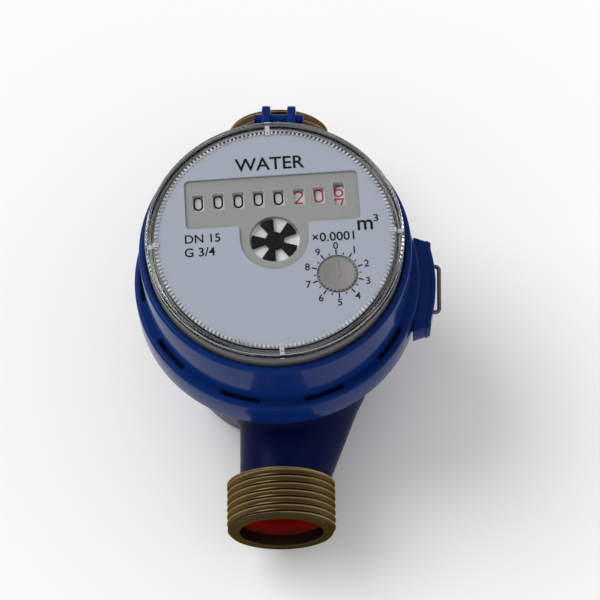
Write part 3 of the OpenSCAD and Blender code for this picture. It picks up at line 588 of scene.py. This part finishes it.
class METER_OT_casting(PieceOperator, bpy.types.Operator):
    """Cast body with its bowl and two flared necks"""
    bl_idname = "meter.casting"
    bl_label = "Casting"

    def make(self, size, tone):
        rim, neck, fillet = (v / MM for v in (size.rim_r, size.neck_r, size.neck_blend))
        shape = skin(lambda x, y, z: casting_field(x, y, z, rim, neck, fillet),
                     (-33, -45, -1.5), (33, 45, 47.5), 0.62)
        paint = grained("blue_enamel", tone.body_blue, scaled(tone.body_blue, 1.35), 0.3, 0.07, 420, 7e-5,
                        Specular_IOR_Level=0.03)
        settle(as_object("body_casting", shape), "housing", "body_paint", paint, "body", crease=50)


class METER_OT_threads(PieceOperator, bpy.types.Operator):
    """Turned brass thread and bore at both ports"""
    bl_idname = "meter.threads"
    bl_label = "Port threads"

    def make(self, size, tone):
        crest, pitch, depth = size.thread_r / MM, size.thread_pitch / MM, size.thread_depth / MM
        chamfer, throat, run_in, groove_shade = 0.75, 8.0, 0.5, 0.87
        steps, columns = 16, 176
        rows = (int((PORT_Y - THREAD_BACK) / pitch) + 3) * steps
        verts, faces = lathe([(crest - chamfer, PORT_Y)] + quarter(PORT_BORE + 0.3, PORT_Y - 0.3, 0.3, 90)
                             + [(PORT_BORE, 44.5), (throat, 44.5), (throat, THREAD_BACK), (crest, THREAD_BACK)],
                             columns)
        faces = faces[:-columns]
        # Painted shade: the bore and the chamfered face are drawn fully dark, and the thread flanks darker the deeper
        # they lie, up to a fixed cap.
        first, painted_shade = len(verts), [1.0] * len(verts)
        for k in range(rows):
            share = (k / steps) % 1
            ridge = min(1, max(0, 1.1 - 2.6 * (0.5 - abs(share - 0.5))))
            for i in range(columns):
                h = min(PORT_Y, max(THREAD_BACK, THREAD_BACK + pitch * ((k - steps) / steps + i / columns)))
                r = crest - depth * (1 - ridge) * min(1, (h - THREAD_BACK) / run_in)
                r = min(r, crest - max(0, h - PORT_Y + chamfer))
                turn = 2 * math.pi * i / columns
                verts.append((r * math.cos(turn), r * math.sin(turn), h))
                painted_shade.append(1.0 if h > PORT_Y - chamfer else min(groove_shade, 3.5 * (crest - r) / depth))
        for k in range(rows - 1):
            over = [min(k + steps, rows - 1), min(k + 1 + steps, rows - 1)]
            for i in range(columns):
                ahead = [k, k + 1] if i + 1 < columns else over
                j = (i + 1) % columns
                faces.append([first + k * columns + i, first + ahead[0] * columns + j,
                              first + ahead[1] * columns + j, first + (k + 1) * columns + i])
        # Turned brass, drawn towards a dark brown where the points carry painted shade.
        brass = deepened(grained("turned_brass", scaled(tone.brass, 0.85), tone.brass, 0.36, 0.08, 900, 3e-5,
                                 stretch=(0.25, 5, 0.25), Metallic=1.0, Specular_Tint=(0.5, 0.44, 0.36, 1)),
                         (0.055, 0.043, 0.026))
        for name, s in (("inlet_thread", -1), ("outlet_thread", 1)):
            placed = [(-s * x, s * z, PIPE_Z + y) for x, y, z in verts]
            piece = mark_deep(as_object(name, (placed, faces)), np.array(painted_shade))
            settle(piece, "housing", "body_paint", brass, "body", crease=25)


class METER_OT_strainer(PieceOperator, bpy.types.Operator):
    """Red strainer in the inlet"""
    bl_idname = "meter.strainer"
    bl_label = "Strainer"

    def make(self, size, tone):
        # Painted shade: the red is drawn towards a dark red where the points carry shade values.
        red = deepened(grained("strainer_red", tone.strainer, scaled(tone.strainer, 0.7), 0.6, 0.08, 600, 3e-5,
                               Specular_IOR_Level=0.1), scaled(tone.strainer, 0.25))
        dress("inlet_strainer", red)
        back, foot, mouth = 44.6, 50.2, 52.1
        lip = lathe([(9.0, back), (9.98, back), (9.98, mouth), (9.9, 52.15), (9.8, mouth), (9.0, foot)], 96)
        placed = [(x, -z, PIPE_Z + y) for x, y, z in lip[0]]
        # Painted shade: the lip grows darker towards the mouth of the port.
        shade = np.array([-y - foot for _, y, _ in placed]) / 2
        settle(mark_deep(as_object("strainer_lip", (placed, lip[1])), shade), "housing", "strainer_red", red)


class METER_OT_ring(PieceOperator, bpy.types.Operator):
    """Lock ring in two tiers with snap windows, seal lug and lid hinge"""
    bl_idname = "meter.ring"
    bl_label = "Lock ring"

    def make(self, size, tone):
        flange, tier, edge = size.flange_r / MM, size.tier_r / MM, size.ring_round / MM
        high = size.cover_r / MM + 0.25
        low = size.rim_r / MM + 0.25

        def profile(window):
            if window:
                slot = [(tier + 0.95, FLANGE_TOP), (tier + 0.95, 42.7), (tier - 0.25, 42.7), (tier - 0.25, 47.5)]
            else:
                slot = [(tier + out, FLANGE_TOP) for out in (0.95, 0.7, 0.3, 0)]
            return ([(low, RING_LOW)] + quarter(flange - 0.6, 37.7, 0.6, -90)
                    + quarter(flange - edge, FLANGE_TOP - edge, edge, 0) + slot + [(tier, 47.5)]
                    + quarter(tier - edge, RING_TOP - edge, edge, 0) + quarter(high + 0.4, 63.0, 0.4, 90)
                    + [(high, 48.925), (low, 48.925), (low, 40.2), (high, 39.9), (high, 38.3), (low, 38.3)])

        columns = []
        first, apart, half_arc = 3.7, 36, 8.5
        bounds = [(first + apart * i - half_arc, first + apart * i + half_arc) for i in range(1, 10)]
        for a in np.arange(0.25, 360, 1.5):
            columns.append((a, any(s < a < e for s, e in bounds), 0))
        for s, e in bounds:
            columns += [(s, False, -1), (s, True, 1), (e, True, -1), (e, False, 1)]
        columns.sort(key=lambda c: (c[0], c[2]))
        verts, faces = [], []
        for a, window, _ in columns:
            c, s = math.cos(math.radians(a)), math.sin(math.radians(a))
            verts += [(r * c, r * s, z) for r, z in profile(window)]
        n = len(profile(True))
        for i in range(len(columns)):
            j = (i + 1) % len(columns)
            faces += [[i * n + k, j * n + k, j * n + (k + 1) % n, i * n + (k + 1) % n] for k in range(n)]
        lug_r = flange + 3.95
        block = slab([(flange - 1.5, -12.6), (lug_r - 2, -11.3), (lug_r - 1.2, -11.3), (lug_r - 1.2, 11.3),
                      (lug_r - 2, 11.3), (flange - 1.5, 12.6)], 37.15, 43.55, 0.35)
        half = math.asin(11.8 / lug_r)
        arc = np.linspace(-half, half, 25)
        plate = slab([(lug_r * math.cos(a), lug_r * math.sin(a)) for a in arc]
                     + [((lug_r - 1.5) * math.cos(a), (lug_r - 1.5) * math.sin(a)) for a in arc[::-1]],
                     RING_LOW, 43.6, 0.45)
        back = tier + 3.7
        cheeks = [slab([(tier - 1, 52.9), (tier + 0.4, 52.9), (back + 2.9, 58.4), (back + 2.9, 61.7),
                        (back + 2, 62.5), (tier - 1, 62.5)], x - 1.025, x + 1.025, 0.35, lambda u, v, w: (w, u, v))
                  for x in (-3.05, 3.05)]
        rod = lathe([(0, -6)] + quarter(0.8, -5.75, 0.25, -90) + quarter(0.8, 5.75, 0.25, 0) + [(0, 6)], 40)
        pin = ([(z, back + y, 60.4 + x) for x, y, z in rod[0]], rod[1])
        shape = spun(together((verts, faces), block, plate, *cheeks, pin), RING_TURN)
        blue = grained("ring_blue", tone.ring_blue, scaled(tone.ring_blue, 1.2), 0.14, 0.05, 260, 1.5e-5,
                       Specular_IOR_Level=0.055)
        settle(as_object("lock_ring_moulding", shape), "housing", "ring_blue", blue, "lock_ring")


class METER_OT_wire(PieceOperator, bpy.types.Operator):
    """Seal wire in the lug"""
    bl_idname = "meter.wire"
    bl_label = "Seal wire"

    def make(self, size, tone):
        dress("seal_wire", plain_finish("wire_dark"))


class METER_OT_cover(PieceOperator, bpy.types.Operator):
    """Clear cover with an eased crown and four small ribs"""
    bl_idname = "meter.cover"
    bl_label = "Clear cover"

    def make(self, size, tone):
        outer = size.cover_r / MM
        bore = outer - 1.65
        seam, under, top = 66.4, 68.0, 69.9
        crown = rounded([(outer, seam), (outer, 69.0), (outer - 0.9, top)], [0.1, 0.5, 0.5])
        crown += [(12.0, top), (0, top), (0, under), (12.0, under)] + quarter(bore - 0.35, 67.65, 0.35, 90)[::-1]
        crown += [(bore, seam)]
        clear = clear_finish()
        settle(as_object("clear_cover_crown", lathe(crown, 256)), "housing", "clear_plastic", clear, "clear_cover",
               crease=40)
        # Painted reflection: the clear wall is drawn as a dark grey that lets little light through, standing in for
        # what the clear plastic reflects; its groove is drawn near-black as painted shade.
        wall_reflection_paint = deepened(grained("frosted_wall", (0.075, 0.074, 0.074), (0.115, 0.113, 0.11), 0.25, 0.08, 500, 2e-5,
                                Transmission_Weight=0.15), (0.004, 0.004, 0.004))
        line = outer - 0.78
        wall = rounded([(bore, 46.8), (outer + 0.95, 46.8), (outer + 0.95, 48.8), (outer, 48.8), (outer, 66.2),
                        (line + 0.25, 66.2), (line + 0.25, 66.08), (line + 0.25, 64.4), (line - 0.25, 64.4),
                        (line - 0.25, 66.08), (line - 0.25, 66.2), (bore, 66.2)],
                       [0, 0.15, 0.3, 0.3, 0.06, 0.04, 0, 0, 0, 0, 0.04, 0.06], 2)
        shape = lathe(wall, 256)
        # Painted shade: points on the groove's faces are drawn near-black.
        painted_dark = [abs(math.hypot(x, y) - line) < 0.28 and z < 66.1 for x, y, z in shape[0]]
        settle(mark_deep(as_object("clear_cover_wall", shape), np.array(painted_dark, float)), "housing", "clear_plastic",
               wall_reflection_paint, "clear_cover")
        edge = size.dial_r / MM
        # Painted glints: the small teeth are opaque and flecked from near-black to near-white in their colour, in
        # place of clear plastic.
        glint = grained("knurl_glint", (0.1, 0.1, 0.105), (0.95, 0.96, 0.97), 0.2, 0.06, 2600, 1e-5)
        tooth = slab([(edge - 0.5, -0.19), (edge + 0.32, -0.23), (edge + 0.32, 0.23), (edge - 0.5, 0.19)], 67.44, 67.9,
                     0.1, steps=1)
        knurl = round_about("cover_knurl", tooth, size.edge_marks, REGISTER_TURN, (0, 0, 0), glint)
        settle(knurl, "housing", "clear_plastic", glint)
        skirt = lathe([(edge + 0.05, 60.5), (edge + 0.78, 60.5), (edge + 0.78, 66.7), (edge + 0.37, 66.7),
                       (edge + 0.35, 66.7), (edge + 0.05, 66.7)], 192)
        # Painted shade: the outer band of the skirt's top is drawn near-black.
        painted_shade = [math.hypot(x, y) > edge + 0.36 for x, y, z in skirt[0]]
        grey = deepened(grained("dial_skirt", (0.2, 0.2, 0.202), (0.28, 0.28, 0.28), 0.3, 0.07, 500, 2e-5),
                        (0.006, 0.006, 0.006))
        settle(mark_deep(as_object("dial_skirt", skirt), np.array(painted_shade, float)), "housing", "clear_plastic", grey)
        frost = grained("frosted_rib", (0.46, 0.47, 0.48), (0.56, 0.57, 0.58), 0.4, 0.1, 800, 2e-5)
        ribs = [slab([(r0, -0.55), (r1, -0.55), (r1, 0.55), (r0, 0.55)], z0, z1, 0.05, steps=1)
                for r0, r1, z0, z1 in ((26.9, bore - 0.16, 67.42, 67.9), (bore + 0.04, outer - 0.25, 66.22, 66.37))]
        ribs = round_about("cover_ribs", together(*ribs), 4, REGISTER_TURN, (0, 0, 0), frost)
        settle(ribs, "housing", "clear_plastic", frost)


class METER_OT_dial(PieceOperator, bpy.types.Operator):
    """Dial plate with its opening, print and ticks"""
    bl_idname = "meter.dial"
    bl_label = "Dial"

    def make(self, size, tone):
        edge = size.dial_r / MM
        disc = [(edge * math.cos(a), edge * math.sin(a)) for a in np.linspace(0, 2 * math.pi, 240, endpoint=False)]
        hub_r, foot, side, top, hole_r, numeral_r = 8, 3.6, 20.4, 16.3, 4.8, 7.2
        hub = [(hub_r * math.cos(a), hub_r * math.sin(a)) for a in np.linspace(math.pi, 2 * math.pi, 49)[1:-1]]
        opening = rounded([(hub_r, 0), (hub_r, foot), (side, foot), (side, top), (-side, top), (-side, foot),
                           (-hub_r, foot), (-hub_r, 0)], [0, 0.8, 1.2, 1.2, 1.2, 1.2, 0.8, 0]) + hub
        hole = [(SMALL_DIAL[0] + hole_r * math.cos(a), SMALL_DIAL[1] + hole_r * math.sin(a))
                for a in np.linspace(0, 2 * math.pi, 72, endpoint=False)]
        plate = spun(flat_plate([disc, opening, hole], 66.8, DIAL_TOP, 0.08), REGISTER_TURN)
        white = grained("dial_white", tone.dial, scaled(tone.dial, 0.94), 0.42, 0.06, 500, 8e-6)
        settle(as_object("dial_face", plate), "housing", "dial_white", white, "dial_plate", crease=12)
        black = grained("print_black", tone.ink, scaled(tone.ink, 1.6), 0.5, 0.08, 900, 4e-6, Specular_IOR_Level=0.05)
        words = [lettering("WATER", 0, 17.8, 3.4, DIAL_TOP, anchor=0.5),
                 lettering("m", 19.4, 0.5, 2.6, DIAL_TOP, width=3.6),
                 lettering("3", 23.2, 2.5, 1.9, DIAL_TOP, width=1.2),
                 lettering("×0.0001", 8.7, -1.8, 2.3, DIAL_TOP, width=9.8),
                 lettering("DN 15", -20.8, -0.1, 2.2, DIAL_TOP),
                 lettering("G 3/4", -21.0, -3.6, 2.3, DIAL_TOP)]
        for d in range(10):
            a = math.radians(90 - 36 * d)
            words.append(lettering(str(d), SMALL_DIAL[0] + numeral_r * math.cos(a),
                                   SMALL_DIAL[1] + numeral_r * math.sin(a) - 0.9, 1.8, DIAL_TOP, anchor=0.5))
        text = as_object("dial_words", spun(together(*words), REGISTER_TURN))
        centre = spun(([(*SMALL_DIAL, 0)], []), REGISTER_TURN)[0][0]
        ticks = [round_about(f"dial_ticks_{i}", slab([(r0, -w), (r1, -w), (r1, w), (r0, w)], DIAL_TOP - 0.02,
                                                     DIAL_TOP + 0.03, 0.01, steps=1), 10,
                             REGISTER_TURN + math.radians(90 + 18 * i), centre, black)
                 for i, (r0, r1, w) in enumerate(((4.95, 6.15, 0.17), (4.95, 5.55, 0.13)))]
        settle(merged("dial_print", text, *ticks), "housing", "dial_white", black)


def ellipse(cx, cy, rx, ry, a0, a1):
    """Points on an ellipse between two angles in degrees."""
    return [(cx + rx * math.cos(math.radians(a)), cy + ry * math.sin(math.radians(a)))
            for a in np.linspace(a0, a1, max(5, int(abs(a1 - a0) / 12)))]


def digit_lines(d):
    """Centre lines of a digit in a box one wide and one high, each with a closed flag."""
    if d == 0:
        return [(ellipse(0.5, 0.72, 0.5, 0.28, 0, 180) + ellipse(0.5, 0.28, 0.5, 0.28, 180, 360), True)]
    if d == 1:
        return [([(0.15, 0.8), (0.55, 1), (0.55, 0)], False), ([(0.2, 0), (0.9, 0)], False)]
    if d == 2:
        return [(ellipse(0.5, 0.72, 0.48, 0.28, 170, -25) + [(0.02, 0), (1, 0)], False)]
    if d == 3:
        return [(ellipse(0.48, 0.76, 0.46, 0.24, 160, -90) + ellipse(0.48, 0.27, 0.5, 0.27, 90, -160), False)]
    if d == 4:
        return [([(0.75, 0), (0.75, 1), (0, 0.3), (1, 0.3)], False)]
    if d == 5:
        return [([(0.92, 1), (0.12, 1), (0.08, 0.56)] + ellipse(0.48, 0.32, 0.5, 0.32, 128, -155), False)]
    if d == 6:
        return [(ellipse(0.5, 0.3, 0.5, 0.3, 180, 540), True),
                (ellipse(0.62, 0.32, 0.62, 0.68, 180, 90) + [(0.8, 1)], False)]
    if d == 7:
        return [([(0.02, 0.86), (0.02, 1), (1, 1), (0.38, 0)], False)]
    if d == 8:
        return [(ellipse(0.5, 0.76, 0.42, 0.24, -90, 270), True), (ellipse(0.5, 0.26, 0.5, 0.26, 90, 450), True)]
    return [(ellipse(0.5, 0.7, 0.5, 0.3, 0, 360), True),
            (ellipse(0.38, 0.68, 0.62, 0.68, 0, -90) + [(0.2, 0)], False)]


def ribbon(line, closed, width):
    """Two edges of a line drawn with a broad pen."""
    points = [Vector(line[0])]
    for p in line[1:] + (line[:1] if closed else []):
        gap = Vector(p) - points[-1]
        if gap.length > 1e-4:
            steps = max(1, int(gap.length / 0.35))
            start = points[-1].copy()
            points += [start + gap * (k + 1) / steps for k in range(steps)]
    if closed:
        points.pop()
    left, right = [], []
    for i, p in enumerate(points):
        a = p - points[i - 1] if i or closed else points[1] - p
        b = points[(i + 1) % len(points)] - p if i + 1 < len(points) or closed else a
        a, b = a.normalized(), b.normalized()
        mid = (a + b).normalized() if (a + b).length > 1e-6 else a
        side = Vector((-mid.y, mid.x)) * (width / 2 / max(0.6, mid.dot(a)))
        left.append(p + side)
        right.append(p - side)
    return left, right


def drum_digit(d, phase, x, stroke):
    """Raised print of one digit, bent round a drum that lies along X."""
    shells = []
    for line, closed in digit_lines(d):
        box = [((u - 0.5) * (DIGIT_WIDE - stroke), (v - 0.5) * (DIGIT_TALL - stroke)) for u, v in line]
        left, right = ribbon(box, closed, stroke)
        verts = []
        for r in (DRUM_R + 0.025, DRUM_R - 0.04):
            for p in left + right:
                a = phase - p.y / DRUM_R
                verts.append((x + p.x, COUNTER[0] - r * math.sin(a), COUNTER[1] + r * math.cos(a)))
        n = len(left)
        faces = []
        for i in range(n if closed else n - 1):
            j = (i + 1) % n
            faces += [[i, j, n + j, n + i], [2 * n + i, 3 * n + i, 3 * n + j, 2 * n + j],
                      [i, 2 * n + i, 2 * n + j, j], [n + i, n + j, 3 * n + j, 3 * n + i]]
        if not closed:
            faces += [[0, n, 3 * n, 2 * n], [n - 1, 3 * n - 1, 4 * n - 1, 2 * n - 1]]
        shells.append((verts, faces))
    return together(*shells)


class METER_OT_counter(PieceOperator, bpy.types.Operator):
    """Counter frame, number wheels and their printed digits"""
    bl_idname = "meter.counter"
    bl_label = "Counter"

    def make(self, size, tone):
        dress("counter_frame", grained("frame_grey", tone.panel, scaled(tone.panel, 0.9), 0.5, 0.06, 600, 2e-5,
                                       Subsurface_Weight=0.5, Subsurface_Radius=(1, 1, 0.9), Subsurface_Scale=0.0015))
        pale = grained("wheel_grey", tone.wheel, scaled(tone.wheel, 0.93), 0.45, 0.06, 700, 1.5e-5)
        black = grained("digit_black", tone.ink, scaled(tone.ink, 1.6), 0.5, 0.08, 900, 4e-6, Specular_IOR_Level=0.05)
        red = grained("digit_red", tone.red_ink, scaled(tone.red_ink, 0.85), 0.5, 0.08, 900, 4e-6)
        stroke = size.digit_stroke / MM
        sleeves, wide, drum_gap = [], 1.39, 0.2
        for i, x in enumerate(WHEEL_X):
            tall = 6.6 if i == 7 else 4.6
            inner, outer = tall / 2 - 0.1, tall / 2 - 0.01
            loops = [[(x + u * w, COUNTER[0] + v * h) for u, v in ((-1, -1), (1, -1), (1, 1), (-1, 1))]
                     for w, h in ((wide, outer), (1.3, inner))]
            sleeves.append(flat_plate(loops, 65.46, 66.78, 0.02))
            low = COUNTER[1] + math.sqrt(DRUM_R ** 2 - inner ** 2) + drum_gap
            bar = [(x + u, COUNTER[0] + v) for u, v in ((-wide, inner), (wide, inner), (wide, outer), (-wide, outer))]
            sleeves.append(slab(bar, low, 65.44, 0.02, steps=1))
        # Painted light: the window walls are a much paler grey than the frame they belong to, so their shaded sides
        # read as lit.
        light = grained("window_sleeve", (0.62, 0.61, 0.59), (0.56, 0.55, 0.53), 0.5, 0.06, 700, 1e-5)
        settle(as_object("window_sleeves", spun(together(*sleeves), REGISTER_TURN)), "housing", "frame_grey", light)
        for i in range(8):
            dress(f"number_wheel_{i + 1}", pale)
            digits = [drum_digit(d, math.radians(36 * (d - READING[i])), WHEEL_X[i], stroke) for d in range(10)]
            piece = as_object(f"digits_{i + 1}", spun(together(*digits), REGISTER_TURN))
            settle(piece, f"number_wheel_{i + 1}", "wheel_grey", red if i > 4 else black)


class METER_OT_star(PieceOperator, bpy.types.Operator):
    """Black flow star with wedge blades and a dimpled hub"""
    bl_idname = "meter.star"
    bl_label = "Flow star"

    def make(self, size, tone):
        base, high = (v.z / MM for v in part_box("flow_star"))
        low = high - 1
        half = math.radians(18)
        tip, root, hub_top = 5.5, 1.45, high + 0.03
        rim = [(tip * math.cos(a), tip * math.sin(a)) for a in np.linspace(-half, half, 9)]
        foot = [(root * math.cos(half), root * math.sin(half)), (root * math.cos(half), -root * math.sin(half))]
        black = grained("star_black", (0.004, 0.004, 0.0045), (0.008, 0.008, 0.009), 0.45, 0.07,
                        500, 2e-5, Specular_IOR_Level=0.03)
        blades = round_about("star_blades", slab(foot + rim, low, high, 0.22), size.star_blades,
                             REGISTER_TURN + math.radians(36), (0, 0, 0), black)
        hub = lathe([(0.76, base), (1.6, base), (1.6, low), (2.2, low)] + quarter(1.95, hub_top - 0.25, 0.25, 0)
                    + [(1.0, hub_top), (0.7, high - 0.12), (0, high - 0.2), (0, high - 0.4), (0.76, high - 0.4)],
                    72)
        well = lathe([(1.75, low - 0.4), (5.95, low - 0.4), (5.95, 65.58), (5.86, 65.58), (5.86, low - 0.25),
                      (1.75, low - 0.25)], 96)
        silver = grained("star_well", (0.8, 0.8, 0.8), (0.88, 0.88, 0.88), 0.38, 0.08, 700, 4e-5)
        settle(as_object("star_well", well), "housing", "frame_grey", silver)
        settle(merged("flow_star_moulding", blades, as_object("star_hub", hub)),
               "register_drive", "star_black", black, "flow_star", crease=20)


class METER_OT_pointer(PieceOperator, bpy.types.Operator):
    """Toothed disc of the small dial with its pointer"""
    bl_idname = "meter.pointer"
    bl_label = "Pointer disc"

    def make(self, size, tone):
        low, high = (v.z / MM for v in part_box("pointer_disc"))
        grey = grained("pointer_grey", (0.20, 0.18, 0.17), (0.245, 0.225, 0.215), 0.45, 0.07, 700, 2e-5)
        at = (*SMALL_DIAL, 0)
        disc = lathe([(0.5, low), (4.1, low), (4.1, high - 0.1), (4.0, high), (3.2, high), (3.0, high - 0.08),
                      (0.9, high - 0.08), (0.8, high), (0, high), (0, high - 0.1), (0.5, high - 0.1)], 96)
        arrow = slab(rounded([(-0.5, 0.6), (0.5, 0.6), (0.12, 3.9), (-0.12, 3.9)], 0.1),
                     high - 0.15, high + 0.08, 0.05)
        centre = spun(([at], []), REGISTER_TURN)[0][0]
        tooth = slab([(3.9, -0.45), (4.48, -0.12), (4.48, 0.12), (3.9, 0.45)], low + 0.01, high - 0.04, 0.04, steps=1)
        teeth = round_about("disc_teeth", tooth, size.disc_teeth, REGISTER_TURN, centre, grey)
        body = as_object("disc_body", spun(together(disc, arrow), REGISTER_TURN, at))
        settle(merged("pointer_disc_moulding", teeth, body), "pointer", "pointer_grey", grey, "pointer_disc")


class METER_OT_inside(PieceOperator, bpy.types.Operator):
    """Finishes of the working parts inside"""
    bl_idname = "meter.inside"
    bl_label = "Inner pieces"

    PIECES = {
        "steel": ["chamber_pivot", "magnetic_shield", "idler_post", "counter_shaft", "carry_shaft", "impeller_axle",
                  "star_shaft"],
        "rubber_black": ["divider_o_ring", "cover_gasket"],
        "divider_plastic": ["divider_plate", "register_base"],
        "bridge_metal": ["bridge_plate"],
        "impeller_plastic": ["impeller"],
        "bearing_red": ["impeller_bearing"],
        "magnet_dark": ["impeller_magnet", "follower_magnet"],
        "gear_plastic": ["centre_pinion", "reduction_gear", "worm_arbor", "counter_worm", "pointer_gear"]
        + [f"carry_pinion_{i}" for i in range(1, 8)],
    }

    def make(self, size, tone):
        for slot, names in self.PIECES.items():
            for name in names:
                dress(name, plain_finish(slot))


class METER_OT_stage(PieceOperator, bpy.types.Operator):
    """Pale floor, soft light and the camera"""
    bl_idname = "meter.stage"
    bl_label = "Stage"

    def make(self, size, tone):
        scene = bpy.context.scene
        far = 3000
        floor = as_object("floor", ([(-far, -far, 0), (far, -far, 0), (far, far, 0), (-far, far, 0)], [[0, 1, 2, 3]]))
        floor.data.materials.append(grained("floor_white", (0.95, 0.95, 0.95), (0.96, 0.96, 0.96), 0.9, 0.03, 40, 0,
                                            Specular_IOR_Level=0.0))
        world = bpy.data.worlds.new("studio")
        world.use_nodes = True
        world.node_tree.nodes["Background"].inputs["Color"].default_value = (1, 1, 1, 1)
        world.node_tree.nodes["Background"].inputs["Strength"].default_value = 0.68
        scene.world = world
        lamp = bpy.data.lights.new("key", "SUN")
        lamp.energy = 1.45
        lamp.angle = math.radians(38)
        key = bpy.data.objects.new("key", lamp)
        key.rotation_euler = Vector((-0.95, 0.45, 1.3)).to_track_quat("Z", "Y").to_euler()
        scene.collection.objects.link(key)
        height, swing, roll = (math.radians(v) for v in (65.2245, 2.7171, -3.4565))
        back = Vector((math.sin(swing) * math.cos(height), -math.cos(swing) * math.cos(height), math.sin(height)))
        right = Vector((math.cos(swing), math.sin(swing), 0))
        up = back.cross(right)
        right, up = right * math.cos(roll) + up * math.sin(roll), up * math.cos(roll) - right * math.sin(roll)
        data = bpy.data.cameras.new("camera")
        data.sensor_width = 36
        data.lens = 139.36
        data.shift_x, data.shift_y = 0.0370, -0.0135
        camera = bpy.data.objects.new("camera", data)
        matrix = Matrix((right, up, back)).transposed().to_4x4()
        matrix.translation = (0.011256, -0.237175, 0.552448)
        camera.matrix_world = matrix
        scene.collection.objects.link(camera)
        scene.camera = camera
        scene.view_settings.view_transform = "Standard"


OPERATORS = (METER_OT_casting, METER_OT_threads, METER_OT_strainer, METER_OT_ring, METER_OT_wire, METER_OT_cover,
             METER_OT_dial, METER_OT_counter, METER_OT_star, METER_OT_pointer, METER_OT_inside, METER_OT_stage)


class METER_PT_panel(bpy.types.Panel):
    """Sidebar panel with every piece"""
    bl_idname = "METER_PT_panel"
    bl_label = "Water meter"
    bl_space_type = "VIEW_3D"
    bl_region_type = "UI"
    bl_category = "Water meter"

    def draw(self, context):
        for operator in OPERATORS:
            self.layout.operator(operator.bl_idname)
        for group in (context.scene.meter_sizes, context.scene.meter_colours):
            for name in group.__annotations__:
                self.layout.prop(group, name)


CLASSES = (MeterSizes, MeterColours) + OPERATORS + (METER_PT_panel,)


def register():
    for cls in CLASSES:
        bpy.utils.register_class(cls)
    bpy.types.Scene.meter_sizes = bpy.props.PointerProperty(type=MeterSizes)
    bpy.types.Scene.meter_colours = bpy.props.PointerProperty(type=MeterColours)


def unregister():
    del bpy.types.Scene.meter_colours
    del bpy.types.Scene.meter_sizes
    for cls in reversed(CLASSES):
        bpy.utils.unregister_class(cls)


def main():
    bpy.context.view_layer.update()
    register()
    for operator in OPERATORS:
        group, name = operator.bl_idname.split(".")
        getattr(getattr(bpy.ops, group), name)()


if __name__ == "__main__":
    main()
